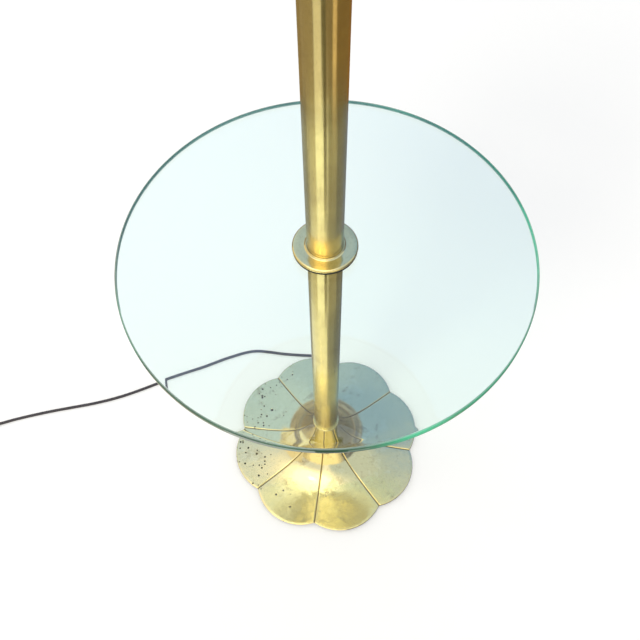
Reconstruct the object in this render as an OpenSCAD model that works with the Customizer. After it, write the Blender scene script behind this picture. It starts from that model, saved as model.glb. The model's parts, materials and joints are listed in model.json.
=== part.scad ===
// Floor lamp: a lotus foot, a brass column with a round glass table on it,
// and a shaded lamp holder on top. Millimetres. The origin is on the floor at
// the column's axis, +Z is up and -Y is the front.

/* [Foot] */
// Number of petals in the foot
petal_count = 8; // [6:1:12]
// Radius from the axis to the tip of a petal
petal_tip_r = 168; // [164:0.5:185]
// Radius from the axis to the notch between two petals
petal_notch_r = 153.5; // [150:0.5:158]
// Turn of the front groove, seen from above
foot_turn = -7.9; // [-20:0.1:20]
// Thickness of the rim
rim_t = 4; // [3.6:0.1:6]
// Width of the solid band inside the notches
rim_band = 12; // [8:0.5:16]
// Rise of the trumpet flare above the rim
flare_h = 94; // [80:1:110]
// How far the flare spreads before it lies flat
flare_spread = 24.7; // [22:0.1:27]
// How sharply the flare turns: lower is sharper
flare_power = 0.85; // [0.8:0.01:0.95]
// Wall of the foot
foot_wall = 2.5; // [2:0.1:3]
// Width of the grooves between the petals
groove_w = 2.4; // [1.5:0.1:3.5]
// Depth of the grooves between the petals
groove_d = 1.2; // [0.6:0.1:1.4]
// Thickness of the felt sole
felt_t = 2; // [1.5:0.1:3]
// Distance from the petals' edge in to the sole
felt_inset = 5; // [3:0.5:9]
// Height of the ballast above the sole
ballast_h = 32; // [29:0.5:36]
// Depth of the nut's recess under the ballast
recess_h = 24; // [22:0.5:26]
// Radius of the nut's recess
recess_r = 28; // [24:0.5:32]

/* [Column] */
// Outside diameter of the column tubes
tube_d = 40; // [38:0.5:44]
// Wall of the column tubes
tube_wall = 1.2; // [0.8:0.1:1.6]
// How far the beads stand proud of the tubes
bead_proud = 1.4; // [1:0.1:2.5]
// Height of the bead ring on the foot
foot_bead_h = 4; // [3:0.1:6]
// Length of the upper tube
upper_tube_l = 563; // [450:1:650]
// Length of the spigots that centre the tubes
spigot_l = 9; // [6:0.5:14]
// Height of the cap on the upper tube, without its neck
column_cap_h = 26; // [20:1:34]
// Height of the cap's neck
cap_neck_h = 6; // [4:0.5:10]
// Outside radius of the cap's neck
cap_neck_r = 9; // [8:0.5:11]

/* [Pipe] */
// Outside diameter of the threaded lamp pipe
pipe_d = 10; // [9.5:0.1:11]
// Bore of the lamp pipe
pipe_bore_d = 7; // [6.6:0.1:7.6]
// Height of the lower pipe's end above the floor
pipe_foot_z = 16; // [15:0.5:18]
// Height of the pipe joint above the table
pipe_joint_h = 42; // [36:1:60]
// Length of the coupling
coupling_l = 25; // [20:1:30]
// Radius of the coupling
coupling_r = 7.5; // [6.8:0.1:9]
// Width of the nuts across their flats
nut_af = 16; // [14:0.5:18]
// Thickness of the nuts
nut_t = 5; // [3:0.5:6]
// Radius of the washer under the ballast
washer_r = 18; // [14:0.5:20]
// Thickness of the washer
washer_t = 2; // [1:0.1:3]
// Bulge of the beads, as a share of half their height
bead_bulge = 0.6; // [0.3:0.05:0.8]

/* [Table] */
// Height of the glass's top face
table_h = 610; // [520:1:680]
// Diameter of the glass
glass_d = 457.2; // [400:0.1:520]
// Thickness of the glass
glass_t = 10; // [8:0.5:12]
// Radius of the polished edge's corners
glass_edge_r = 2.4; // [1:0.1:3.5]
// Diameter of the hole in the glass
glass_hole_d = 16; // [15:0.5:20]
// Diameter of the collar on the glass
collar_d = 72; // [64:1:84]
// Thickness of the collar's disc
collar_t = 5; // [4:0.1:7]
// Height of the bead on the collar
collar_bead_h = 1.8; // [1:0.1:2.5]
// Diameter of the rubber washer under the collar
gasket_d = 68; // [58:1:70]
// Thickness of the rubber washer under the collar
gasket_t = 1.8; // [1:0.1:3]
// Diameter of the flange under the glass
hub_flange_d = 48; // [44:1:60]
// Thickness of the flange under the glass
hub_flange_t = 3; // [2:0.1:5]
// Length of the hub under the glass
hub_l = 11; // [10:0.5:40]
// Thickness of the rubber washer under the glass
lower_gasket_t = 3; // [2:0.1:4]

/* [Lamp holder] */
// Thickness of the ring on the column's cap
check_ring_t = 3; // [2:0.1:5]
// Thickness of the harp's saddle
saddle_t = 1.6; // [1.2:0.1:2.5]
// Width of the saddle's arms
saddle_w = 9; // [8:0.5:12]
// Distance from the axis to the harp's legs
harp_leg_x = 27; // [25:0.5:30]
// Height of the saddle's posts
post_h = 14; // [10:0.5:16]
// Diameter of the harp's wire
harp_wire_d = 3.6; // [3:0.1:4.5]
// Height of the harp from the saddle
harp_h = 204; // [190:1:230]
// Greatest distance from the axis to the harp's wire
harp_wide_x = 50; // [44:1:56]
// Height of the seat on the harp's wire
harp_seat_t = 2; // [1:0.1:3]
// Length of the sleeves on the harp's legs
sleeve_l = 26; // [22:0.5:28]
// Wall of the sleeves
sleeve_wall = 1.2; // [0.8:0.1:1.6]
// Outside radius of the lamp holder's shell
shell_r = 16.6; // [16.2:0.1:18]
// Wall of the lamp holder's shell
shell_wall = 0.6; // [0.4:0.1:1]
// Length of the lamp holder's shell
shell_l = 50; // [46:1:56]
// Wall of the insulating liner
liner_wall = 0.8; // [0.5:0.1:1.2]
// Height of the lamp holder's cap
holder_cap_h = 22; // [20:0.5:26]
// Wall of the lamp holder's cap
holder_cap_wall = 0.8; // [0.6:0.1:1.2]
// Height and outside radius of the threaded hub in that cap
holder_hub = 7; // [6.6:0.1:8]
// Rise and step of that cap's shoulder
holder_step = 2; // [1.5:0.1:3]
// Height of the lamp holder's moulded core
core_h = 30; // [26:0.5:32]
// Outside radius of the screw shell
screw_r = 14; // [13.8:0.1:14.2]
// Wall of the screw shell
screw_wall = 0.5; // [0.3:0.05:0.6]
// Height of the screw shell
screw_h = 22; // [18:0.5:24]
// Radius of the switch's shaft
shaft_r = 2.5; // [2:0.1:3]
// Length of the switch's shaft inside the core
shaft_in = 10; // [8:0.5:11]
// Width of the switch key's grip
key_w = 17; // [14:0.5:20]
// Length of the switch key outside the shell
key_l = 17; // [14:0.5:22]
// Thickness of the switch key's grip
key_t = 4; // [3:0.1:5]

/* [Lamp] */
// Radius of the lamp's widest part
bulb_r = 30; // [28:0.5:34]
// Length of the lamp from contact to tip
bulb_l = 110; // [104:1:116]
// Radius of the lamp's brass cap
bulb_cap_r = 13.2; // [12.8:0.1:13.3]
// Length of the lamp's brass cap
bulb_cap_l = 25; // [22:0.5:27]
// Thickness of the lamp's glass
bulb_wall = 0.8; // [0.5:0.1:1.2]

/* [Shade] */
// Radius of the shade at the bottom
shade_bottom_r = 203; // [180:1:215]
// Radius of the shade at the top
shade_top_r = 127; // [100:1:150]
// Height of the shade
shade_h = 270; // [240:1:290]
// Wall of the shade
shade_wall = 1.2; // [0.8:0.1:2]
// Depth of the fitter below the shade's top edge
fitter_drop = 16; // [12:0.5:22]
// Diameter of the shade's wires
shade_wire_d = 3; // [2.4:0.1:4]
// Radius of the fitter's centre washer
fitter_r = 9; // [8:0.5:11]
// Thickness of the fitter's centre washer
fitter_t = 4; // [3.6:0.1:5]
// Number of arms in the fitter
fitter_arms = 3; // [3:1:5]
// Radius of the threaded stud on the harp
stud_r = 3.2; // [3:0.1:3.5]
// Length of the threaded stud on the harp
stud_l = 12; // [10:0.5:14]
// Radius of the finial's ball
finial_r = 9; // [8:0.5:12]
// Height of the finial
finial_h = 32; // [28:0.5:38]

/* [Cord] */
// Width of the flat cord
cord_w = 5.6; // [5:0.1:6]
// Thickness of the flat cord
cord_t = 3; // [2.6:0.1:3.2]
// Bend of the cord under the lower pipe
inner_bend_r = 13; // [11:0.5:14]
// Distance from the notches in to the strain relief's outer end
exit_inset = 7.5; // [6:0.1:9]
// Length of the strain relief in the rim
bushing_l = 34; // [24:1:40]
// Width of the strain relief at its inner end
bushing_w = 9; // [8:0.1:10]
// Height of the strain relief at its inner end
bushing_h = 5; // [4.8:0.1:5.1]
// Rubber under the cord in the strain relief
bushing_floor = 0.9; // [0.6:0.1:1]
// Width of the cord's way through rim, sole and ballast
slot_w = 9.6; // [9.2:0.1:11]
// Loops in the coil
coil_loops = 8; // [8:4:12]
// Layers in the coil
coil_layers = 4; // [4:4:4]
// Radius of the coil at the middle of its turns
coil_mid_r = 33; // [30:0.5:36]
// Gap between neighbouring turns
coil_gap = 0.7; // [0.6:0.1:1]
// Length of the straight tail that runs down to the plug
tail_l = 31; // [30:1:40]
// Thickness of the tie round the coil
tie_t = 0.8; // [0.6:0.1:1.2]
// Width of the tie round the coil
tie_w = 9; // [6:0.5:9]
// Room between the coil and its tie
tie_room = 0.8; // [0.4:0.1:1.2]
// Turn of the tie round the coil's centre
tie_turn = 30; // [0:5:60]
// Length of the plug's body
plug_l = 30; // [26:0.5:36]
// Width of the plug's body
plug_w = 24; // [22:0.5:28]
// Thickness of the plug's body
plug_t = 14; // [12:0.5:16]
// Distance between the plug's blades
blade_pitch = 12.7; // [12.7:0.1:12.8]
// Width of a blade
blade_w = 6.3; // [6:0.1:6.6]
// Thickness of a blade
blade_t = 1.5; // [1.4:0.1:1.6]
// Length of a blade outside the body
blade_l = 16; // [15:0.5:18]
// Length of a blade inside the body
blade_root = 6; // [4:0.5:8]

/* [Hidden] */

$fn = 96;

// Radial gap between pieces that are screwed or slid together and then stay
fit_gap = 0.1;
// Radial gap of a shaft or sleeve that turns or slides
run_gap = 0.05;
// Gap between a soft or cast piece and the shell round it
seat_gap = 0.3;
// Extra length of a cutting shape past the face it cuts
past = 1;
// Small step in radius or height between neighbouring faces
step = 1;
// Height of the web between the flat cord's cores, as a share of its thickness
cord_web = 0.8;
// Steps in a curved profile
profile_steps = 22;
// Finish colours
brass = [0.80, 0.68, 0.32];
dark_brass = [0.62, 0.50, 0.22];
steel = [0.62, 0.63, 0.65];
iron = [0.22, 0.22, 0.23];
rubber = [0.08, 0.08, 0.08];
cord_colour = [0.20, 0.17, 0.18];

// Radii shared by the column's pieces
tube_r = tube_d / 2;
tube_in_r = tube_r - tube_wall;
spigot_r = tube_in_r - fit_gap;
bead_r = tube_r + bead_proud;
pipe_r = pipe_d / 2;
pipe_way_r = pipe_r + fit_gap;
neck_r = bead_r;

// Heights, from the floor up
rim_z = felt_t;
rim_top = rim_z + rim_t;
flare_top = rim_top + flare_h;
ballast_top = felt_t + ballast_h;
recess_top = felt_t + recess_h;
lower_tube_z = flare_top + foot_bead_h;
glass_z = table_h - glass_t;
hub_top = glass_z - lower_gasket_t;
hub_z = hub_top - hub_l;
collar_z = table_h + gasket_t;
collar_top = collar_z + collar_t;
column_top = collar_top + upper_tube_l;
cap_top = column_top + column_cap_h + cap_neck_h;
saddle_z = cap_top + check_ring_t;
holder_z = saddle_z + saddle_t;
pipe_joint_z = table_h + pipe_joint_h;
pipe_top = holder_z + holder_hub;
core_z = holder_z + holder_cap_h - spigot_l;
core_top = core_z + core_h;
shell_z = holder_z + holder_cap_h - spigot_l / 2;
switch_z = core_z + core_h / 2;
contact_t = 1.6;
lamp_z = core_top + contact_t;
harp_top = saddle_z + harp_h;
fitter_z = harp_top + harp_seat_t;
shade_top = fitter_z + fitter_drop;
shade_z = shade_top - shade_h;

// Petal outline: each petal is an arc through two notches and its tip
petal_angle = 360 / petal_count;
petal_half_chord = petal_notch_r * sin(petal_angle / 2);
petal_bulge = petal_tip_r - petal_notch_r * cos(petal_angle / 2);
petal_r = (pow(petal_half_chord, 2) + pow(petal_bulge, 2)) / (2 * petal_bulge);
petal_centre = petal_tip_r - petal_r;
cavity_r = petal_notch_r - rim_band;

// The back groove is where the cord leaves the foot
exit_turn = foot_turn + 180;
exit_r = petal_notch_r - exit_inset;
cord_z = cord_t / 2 + run_gap;
exit_z = cord_t / 2 + bushing_floor;
slot_top = bushing_h + run_gap;

// Places on the ground, measured from the column's axis
function ground(turn, r, z) = [r * sin(turn), -r * cos(turn), z];

// Height of the foot's upper face at radius r
function flare_z(r) = rim_top
    + flare_h * exp(-pow(max(0, r - neck_r) / flare_spread, flare_power));

// Points on the flare between two radii, lowered and drawn in by a wall
function flare_curve(r0, r1, wall) = [for (i = [0:profile_steps])
    let (r = r0 + (r1 - r0) * pow(i / profile_steps, 2)) [r, flare_z(r + wall) - wall]];

module at_turn(turn) rotate([0, 0, turn - 90]) children();

module petal_outline(inset = 0) {
    for (k = [0:petal_count - 1])
        at_turn(foot_turn + (k + 0.5) * petal_angle)
            translate([petal_centre, 0]) circle(r = petal_r - inset);
    circle(r = petal_centre + petal_r / 3);
}

// A pipe or washer standing on z = 0
module pipe_piece(r_out, r_in, h) {
    difference() {
        cylinder(r = r_out, h = h);
        translate([0, 0, -past]) cylinder(r = r_in, h = h + 2 * past);
    }
}

module hex_nut(af, t) {
    difference() {
        cylinder(r = af / sqrt(3), h = t, $fn = 6);
        translate([0, 0, -past]) cylinder(r = pipe_way_r, h = t + 2 * past);
    }
}

// The cord's section, flat side along X
module cord_section(grow = 0) {
    core_x = (cord_w - cord_t) / 2;
    for (x = [-core_x, core_x]) translate([x, 0]) circle(r = cord_t / 2 + grow, $fn = 32);
    square([2 * core_x, cord_t * cord_web + 2 * grow], center = true);
}

/* ---- tubes swept along points ---- */

// Rounded curve through points: Catmull-Rom with a number of steps a span
function curve_at(a, b, c, d, t) = 0.5 * (2 * b + (c - a) * t
    + (2 * a - 5 * b + 4 * c - d) * pow(t, 2) + (3 * b - a - 3 * c + d) * pow(t, 3));

function smooth_path(p, steps) = let (n = len(p) - 1)
    [for (i = [0:n - 1], s = [0:steps - 1])
        curve_at(i == 0 ? 2 * p[0] - p[1] : p[i - 1], p[i], p[i + 1],
            i == n - 1 ? 2 * p[n] - p[n - 1] : p[i + 2], s / steps),
     p[n]];

function heading(p, i) = let (a = p[max(0, i - 1)], b = p[min(len(p) - 1, i + 1)])
    (b - a) / norm(b - a);

function path_length(p, i = 0) = i >= len(p) - 1 ? 0
    : norm(p[i + 1] - p[i]) + path_length(p, i + 1);

// Section of a swept tube, w wide and t high, with flats on all four sides
function oval(w, t, sides) = [for (k = [0:sides - 1])
    let (a = 360 * (k + 0.5) / sides, s = cos(180 / sides))
    [w / 2 * cos(a) / s, t / 2 * sin(a) / s]];

// Section with points left and right, for tubes of six sides
function hexagon(w, t) = [[w / 2, 0], [w / 4, t / 2], [-w / 4, t / 2],
    [-w / 2, 0], [-w / 4, -t / 2], [w / 4, -t / 2]];

// A tube along p whose section keeps its side axis level, or along side
module swept(p, section, side = undef) {
    n = len(p);
    m = len(section);
    rings = [for (i = [0:n - 1])
        let (d = heading(p, i), x = is_undef(side) ? cross(d, [0, 0, 1]) : side,
            u = x / norm(x), v = cross(d, u))
        for (q = section) p[i] + u * q[0] + v * q[1]];
    faces = concat(
        [[for (k = [0:m - 1]) k]],
        [for (i = [0:n - 2], k = [0:m - 1]) let (a = i * m + k, b = i * m + (k + 1) % m)
            [b, a, a + m]],
        [for (i = [0:n - 2], k = [0:m - 1]) let (a = i * m + k, b = i * m + (k + 1) % m)
            [b, a + m, b + m]],
        [[for (k = [m - 1:-1:0]) (n - 1) * m + k]]);
    polyhedron(rings, faces);
}

/* ---- foot ---- */

module groove(turn) {
    curve = flare_curve(neck_r - groove_d, petal_tip_r + past, 0);
    outline = concat([for (q = curve) [q[0], q[1] - groove_d]],
        [[petal_tip_r + past, flare_top + past], [neck_r, flare_top + past]]);
    at_turn(turn) rotate([90, 0, 0])
        linear_extrude(height = groove_w, center = true) polygon(outline);
}

module cord_way(r0, r1, top) {
    at_turn(exit_turn) translate([r0, -slot_w / 2, -past])
        cube([r1 - r0, slot_w, top + past]);
}

module lotus_base() {
    outside = concat(flare_curve(neck_r, petal_tip_r + past, 0),
        [[petal_tip_r + past, rim_z], [0, rim_z], [0, flare_top]]);
    inside = concat(flare_curve(neck_r - foot_wall, cavity_r, foot_wall),
        [[cavity_r, rim_z - past], [0, rim_z - past], [0, flare_top + past],
         [neck_r - foot_wall, flare_top + past]]);
    color(brass) difference() {
        intersection() {
            rotate_extrude() polygon(outside);
            linear_extrude(height = flare_top + past) petal_outline();
        }
        rotate_extrude() polygon(inside);
        for (k = [0:petal_count - 1]) groove(foot_turn + k * petal_angle);
        cord_way(cavity_r - past, petal_tip_r, slot_top);
    }
}

module base_weight() {
    wall = foot_wall + seat_gap;
    r0 = neck_r + step;
    shoulder = [for (q = flare_curve(r0, cavity_r - seat_gap, wall))
        [q[0], min(q[1], ballast_top)]];
    color(iron) difference() {
        rotate_extrude() polygon(concat([[pipe_way_r, ballast_top]], shoulder,
            [[cavity_r - seat_gap, felt_t], [recess_r, felt_t],
             [recess_r, recess_top], [pipe_way_r, recess_top]]));
        cord_way(recess_r - past, petal_tip_r, slot_top);
    }
}

module base_felt() {
    color([0.12, 0.25, 0.18]) difference() {
        linear_extrude(height = felt_t) petal_outline(felt_inset);
        cord_way(0, petal_tip_r, felt_t + past);
    }
}

module base_washer() {
    color(steel) translate([0, 0, recess_top - washer_t])
        pipe_piece(washer_r, pipe_way_r, washer_t);
}

module base_nut() {
    color(steel) translate([0, 0, recess_top - washer_t - nut_t]) hex_nut(nut_af, nut_t);
}

/* ---- column ---- */

module foot_ring() {
    half = foot_bead_h / 2;
    color(brass) translate([0, 0, flare_top]) difference() {
        union() {
            cylinder(r = bead_r, h = foot_bead_h);
            rotate_extrude() translate([bead_r, half]) circle(r = half * bead_bulge);
            translate([0, 0, foot_bead_h]) cylinder(r = spigot_r, h = spigot_l);
        }
        translate([0, 0, -past])
            cylinder(r = pipe_way_r, h = foot_bead_h + spigot_l + 2 * past);
    }
}

module lower_column() {
    color(brass) translate([0, 0, lower_tube_z])
        pipe_piece(tube_r, tube_in_r, hub_z - lower_tube_z);
}

module lower_collar() {
    cove = hub_flange_d / 2 - tube_r;
    color(brass) translate([0, 0, hub_z]) rotate_extrude() difference() {
        union() {
            square([tube_r, hub_l]);
            translate([0, -spigot_l]) square([spigot_r, spigot_l + step]);
            translate([0, hub_l - hub_flange_t]) square([hub_flange_d / 2, hub_flange_t]);
            difference() {
                translate([0, hub_l - hub_flange_t - cove]) square([tube_r + cove, cove]);
                translate([tube_r + cove, hub_l - hub_flange_t - cove]) circle(r = cove);
            }
        }
        translate([-tube_r, -spigot_l - past])
            square([tube_r + pipe_way_r, hub_l + spigot_l + 2 * past]);
    }
}

module lower_gasket() {
    color(rubber) translate([0, 0, hub_top])
        pipe_piece(hub_flange_d / 2 - step, glass_hole_d / 2, lower_gasket_t);
}

/* ---- table ---- */

module glass_table() {
    r = glass_d / 2;
    e = glass_edge_r;
    color([0.55, 0.85, 0.75, 0.35]) translate([0, 0, glass_z]) rotate_extrude() {
        translate([glass_hole_d / 2, 0]) square([r - e - glass_hole_d / 2, glass_t]);
        translate([r - 2 * e, e]) square([2 * e, glass_t - 2 * e]);
        for (z = [e, glass_t - e]) translate([r - e, z]) circle(r = e);
    }
}

module glass_bushing() {
    color([0.9, 0.9, 0.88]) translate([0, 0, glass_z])
        pipe_piece(glass_hole_d / 2 - fit_gap, pipe_way_r, glass_t);
}

module upper_gasket() {
    color(rubber) translate([0, 0, table_h])
        pipe_piece(gasket_d / 2, glass_hole_d / 2, gasket_t);
}

module upper_collar() {
    half = collar_t / 2;
    color(brass) translate([0, 0, collar_z]) rotate_extrude() difference() {
        union() {
            square([collar_d / 2 - half, collar_t]);
            translate([collar_d / 2 - half, half]) circle(r = half);
            translate([0, collar_t]) square([spigot_r, spigot_l]);
            difference() {
                square([bead_r, collar_t + collar_bead_h]);
                square([tube_r + fit_gap, collar_t + collar_bead_h + past]);
            }
            translate([0, half]) square([tube_r + step, half]);
        }
        translate([-collar_d, -past])
            square([collar_d + pipe_way_r, collar_t + spigot_l + 2 * past]);
    }
}

module clamp_nut() {
    color(steel) translate([0, 0, collar_top + spigot_l]) hex_nut(nut_af, nut_t);
}

module upper_column() {
    color(brass) translate([0, 0, collar_top])
        pipe_piece(tube_r, tube_in_r, upper_tube_l);
}

/* ---- pipe ---- */

module lower_pipe() {
    color(steel) translate([0, 0, pipe_foot_z])
        pipe_piece(pipe_r, pipe_bore_d / 2, pipe_joint_z - pipe_foot_z);
}

module pipe_coupling() {
    color(steel) translate([0, 0, pipe_joint_z - coupling_l / 2])
        pipe_piece(coupling_r, pipe_way_r, coupling_l);
}

module upper_pipe() {
    color(steel) translate([0, 0, pipe_joint_z])
        pipe_piece(pipe_r, pipe_bore_d / 2, pipe_top - pipe_joint_z);
}

/* ---- top of the column ---- */

module column_cap() {
    lip_h = foot_bead_h;
    dome_h = column_cap_h - lip_h;
    color(brass) translate([0, 0, column_top]) rotate_extrude() difference() {
        union() {
            square([tube_r, lip_h]);
            translate([tube_r, lip_h / 2]) circle(r = lip_h / 2 * bead_bulge);
            polygon(concat([[0, lip_h - step]], [[tube_r - step, lip_h - step]],
                [for (i = [0:12]) let (a = 90 * i / 12)
                    [cap_neck_r + (tube_r - step - cap_neck_r) * (1 - sin(a)),
                     lip_h + dome_h * (1 - cos(a))]], [[0, column_cap_h]]));
            square([cap_neck_r, column_cap_h + cap_neck_h]);
            translate([0, -spigot_l]) square([spigot_r, spigot_l + step]);
        }
        translate([-tube_d, -spigot_l - past])
            square([tube_d + pipe_way_r, column_cap_h + cap_neck_h + spigot_l + 2 * past]);
    }
}

module check_ring() {
    color(brass) translate([0, 0, cap_top]) rotate_extrude() difference() {
        union() {
            square([cap_neck_r + step, check_ring_t]);
            translate([cap_neck_r + step, check_ring_t / 2]) circle(r = check_ring_t / 2);
        }
        translate([-tube_d, -past]) square([tube_d + pipe_way_r, check_ring_t + 2 * past]);
    }
}

module harp_saddle() {
    color(dark_brass) translate([0, 0, saddle_z]) {
        difference() {
            union() {
                cylinder(r = cap_neck_r + step, h = saddle_t);
                translate([-harp_leg_x, -saddle_w / 2, 0])
                    cube([2 * harp_leg_x, saddle_w, saddle_t]);
                for (x = [-harp_leg_x, harp_leg_x]) translate([x, 0, 0]) {
                    cylinder(r = saddle_w / 2, h = saddle_t);
                    cylinder(r = harp_wire_d / 2, h = saddle_t + post_h);
                }
            }
            translate([0, 0, -past]) cylinder(r = pipe_way_r, h = saddle_t + 2 * past);
        }
    }
}

harp_foot_z = holder_z + post_h;
harp_leg_top = holder_z + sleeve_l + post_h + 2 * harp_wire_d;
harp_rise = harp_top - harp_leg_top;
// The bent wire's eight sides just fit inside the round of the legs
harp_side_w = harp_wire_d * cos(180 / 8) - run_gap;
harp_curve = [
    [harp_leg_x, 0, harp_leg_top - harp_wire_d],
    [harp_leg_x, 0, harp_leg_top],
    [harp_leg_x + 3, 0, harp_leg_top + harp_rise * 0.08],
    [harp_wide_x - 5, 0, harp_leg_top + harp_rise * 0.24],
    [harp_wide_x, 0, harp_leg_top + harp_rise * 0.42],
    [harp_wide_x - 2, 0, harp_leg_top + harp_rise * 0.62],
    [harp_wide_x * 0.76, 0, harp_leg_top + harp_rise * 0.82],
    [harp_wide_x * 0.42, 0, harp_leg_top + harp_rise * 0.95],
    [0, 0, harp_top - harp_wire_d / 2]];
harp_path = concat([for (q = harp_curve) q],
    [for (i = [len(harp_curve) - 2:-1:0]) [-harp_curve[i][0], 0, harp_curve[i][2]]]);

module harp() {
    color(dark_brass) {
        for (x = [-harp_leg_x, harp_leg_x]) translate([x, 0, harp_foot_z])
            cylinder(r = harp_wire_d / 2, h = harp_leg_top - harp_foot_z);
        swept(smooth_path(harp_path, 3), oval(harp_side_w, harp_side_w, 8), [0, 1, 0]);
        translate([0, 0, harp_top - harp_wire_d])
            cylinder(r = fitter_r - step, h = harp_wire_d + harp_seat_t);
        translate([0, 0, fitter_z]) cylinder(r = stud_r, h = stud_l);
    }
}

module harp_sleeve(x) {
    bore = harp_wire_d / 2 + run_gap;
    color(brass) translate([x, 0, holder_z]) pipe_piece(bore + sleeve_wall, bore, sleeve_l);
}

module harp_sleeve_left() harp_sleeve(-harp_leg_x);

module harp_sleeve_right() harp_sleeve(harp_leg_x);

/* ---- lamp holder ---- */

liner_r = shell_r - shell_wall - fit_gap;
core_r = liner_r - liner_wall - fit_gap;
shaft_way_r = shaft_r + step;

// The way of the switch's shaft through the shell and its liner
module shaft_way() {
    translate([0, 0, switch_z]) rotate([90, 0, 0])
        cylinder(r = shaft_way_r, h = shell_r + past);
}

module socket_cap() {
    in_r = shell_r + fit_gap;
    out_r = in_r + holder_cap_wall;
    shoulder = holder_hub + holder_step;
    color(brass) translate([0, 0, holder_z]) rotate_extrude() polygon([
        [pipe_way_r, 0], [holder_hub, 0], [holder_hub, holder_hub - holder_step / 2],
        [out_r - holder_step, shoulder], [out_r, shoulder + holder_step],
        [out_r, holder_cap_h], [in_r, holder_cap_h], [in_r, shoulder + holder_step],
        [in_r - holder_step, shoulder + holder_cap_wall], [pipe_way_r, holder_hub]]);
}

module socket_shell() {
    color(brass) difference() {
        translate([0, 0, shell_z]) pipe_piece(shell_r, shell_r - shell_wall, shell_l);
        shaft_way();
    }
}

module socket_liner() {
    color([0.35, 0.25, 0.18]) difference() {
        translate([0, 0, shell_z]) pipe_piece(liner_r, liner_r - liner_wall, shell_l - step);
        shaft_way();
    }
}

module socket_body() {
    color([0.15, 0.13, 0.12]) difference() {
        translate([0, 0, core_z]) cylinder(r = core_r, h = core_h);
        translate([0, step - (core_r - shaft_in), switch_z]) rotate([90, 0, 0])
            cylinder(r = shaft_r + run_gap, h = core_r);
    }
}

module screw_shell() {
    color(brass) translate([0, 0, core_top])
        pipe_piece(screw_r, screw_r - screw_wall, screw_h);
}

module centre_contact() {
    color(brass) translate([0, 0, core_top]) cylinder(r = pipe_r - step, h = contact_t);
}

module switch_knob() {
    root = core_r - shaft_in;
    face = shell_r + seat_gap;
    color([0.10, 0.09, 0.08]) translate([0, 0, switch_z]) rotate([90, 0, 0]) {
        translate([0, 0, root]) cylinder(r = shaft_r, h = face - root + step);
        translate([0, 0, face]) cylinder(r = shaft_r * 2, h = key_l / 3);
        translate([0, 0, face + key_l / 3 - step]) rotate([90, 0, 0])
            linear_extrude(height = key_t, center = true) {
                translate([-shaft_r * 1.6, 0]) square([shaft_r * 3.2, key_l / 3]);
                translate([0, key_l * 2 / 3 + step - key_w / 3])
                    scale([1, 2 / 3]) circle(r = key_w / 2);
            }
    }
}

/* ---- lamp ---- */

module bulb_cap() {
    tip = contact_t * 2;
    color(dark_brass) translate([0, 0, lamp_z]) rotate_extrude() {
        polygon([[0, 0], [bulb_cap_r / 3, 0], [bulb_cap_r - step, tip],
            [bulb_cap_r, tip + step], [bulb_cap_r, bulb_cap_l], [0, bulb_cap_l]]);
    }
}

module bulb() {
    neck = bulb_cap_r + step;
    z0 = lamp_z + bulb_cap_l;
    ball_z = bulb_l - bulb_cap_l - bulb_r;
    // Shoulder from the neck up to the ball
    outer = concat([[0, 0], [neck, 0]],
        [for (i = [1:8]) let (t = i / 8)
            [neck + (bulb_r - neck) * (1 - cos(180 * t)) / 2, ball_z * t]],
        [for (i = [1:9]) let (a = 10 * i) [bulb_r * cos(a), ball_z + bulb_r * sin(a)]]);
    inner = concat([[0, bulb_wall], [neck - bulb_wall, bulb_wall]],
        [for (i = [1:8]) let (t = i / 8)
            [neck - bulb_wall + (bulb_r - neck) * (1 - cos(180 * t)) / 2, ball_z * t]],
        [for (i = [1:9]) let (a = 10 * i)
            [(bulb_r - bulb_wall) * cos(a), ball_z + (bulb_r - bulb_wall) * sin(a)]]);
    color([0.97, 0.96, 0.92]) translate([0, 0, z0]) rotate_extrude() difference() {
        polygon(outer);
        polygon(inner);
    }
}

/* ---- shade ---- */

function shade_r(z) = shade_bottom_r + (shade_top_r - shade_bottom_r) * z / shade_h;

wire_r = shade_wire_d / 2;
top_ring_z = shade_h - shade_wire_d;
bottom_ring_z = shade_wire_d;

// Radius of a wire ring that lies against the shade's inside
function ring_r(z) = shade_r(z + wire_r) - shade_wall - wire_r - seat_gap;

module wire_ring(z) {
    translate([0, 0, shade_z + z]) rotate_extrude()
        translate([ring_r(z), 0]) circle(r = wire_r, $fn = 24);
}

module shade_spider() {
    rise = shade_z + top_ring_z - fitter_z - wire_r;
    reach = ring_r(top_ring_z);
    color(brass) {
        wire_ring(top_ring_z);
        difference() {
            union() {
                translate([0, 0, fitter_z]) cylinder(r = fitter_r, h = fitter_t);
                for (k = [0:fitter_arms - 1]) rotate([0, 0, 360 * (k + 0.25) / fitter_arms])
                    translate([0, 0, fitter_z + wire_r])
                        rotate([0, 90 - atan2(rise, reach), 0])
                            cylinder(r = wire_r, h = norm([rise, reach]));
            }
            translate([0, 0, fitter_z - past])
                cylinder(r = stud_r + fit_gap, h = fitter_t + 2 * past);
        }
    }
}

module shade_ring() {
    color(brass) wire_ring(bottom_ring_z);
}

module shade() {
    color([0.93, 0.90, 0.82]) translate([0, 0, shade_z]) rotate_extrude() polygon([
        [shade_bottom_r - shade_wall, 0], [shade_bottom_r, 0], [shade_top_r, shade_h],
        [shade_top_r - shade_wall, shade_h]]);
}

module finial() {
    foot_h = finial_h - 2 * finial_r;
    z0 = fitter_z + fitter_t;
    color(brass) translate([0, 0, z0]) difference() {
        rotate_extrude() difference() {
            union() {
                square([stud_r + 3 * step, foot_h / 3]);
                square([stud_r + 2 * step, foot_h + step]);
                translate([0, foot_h * 2 / 3]) square([stud_r + 3 * step, step]);
                translate([0, foot_h + finial_r]) circle(r = finial_r);
            }
            translate([-finial_h, 0]) square([finial_h, 2 * finial_h]);
        }
        translate([0, 0, -past]) cylinder(r = stud_r + fit_gap, h = stud_l + past);
    }
}

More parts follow.
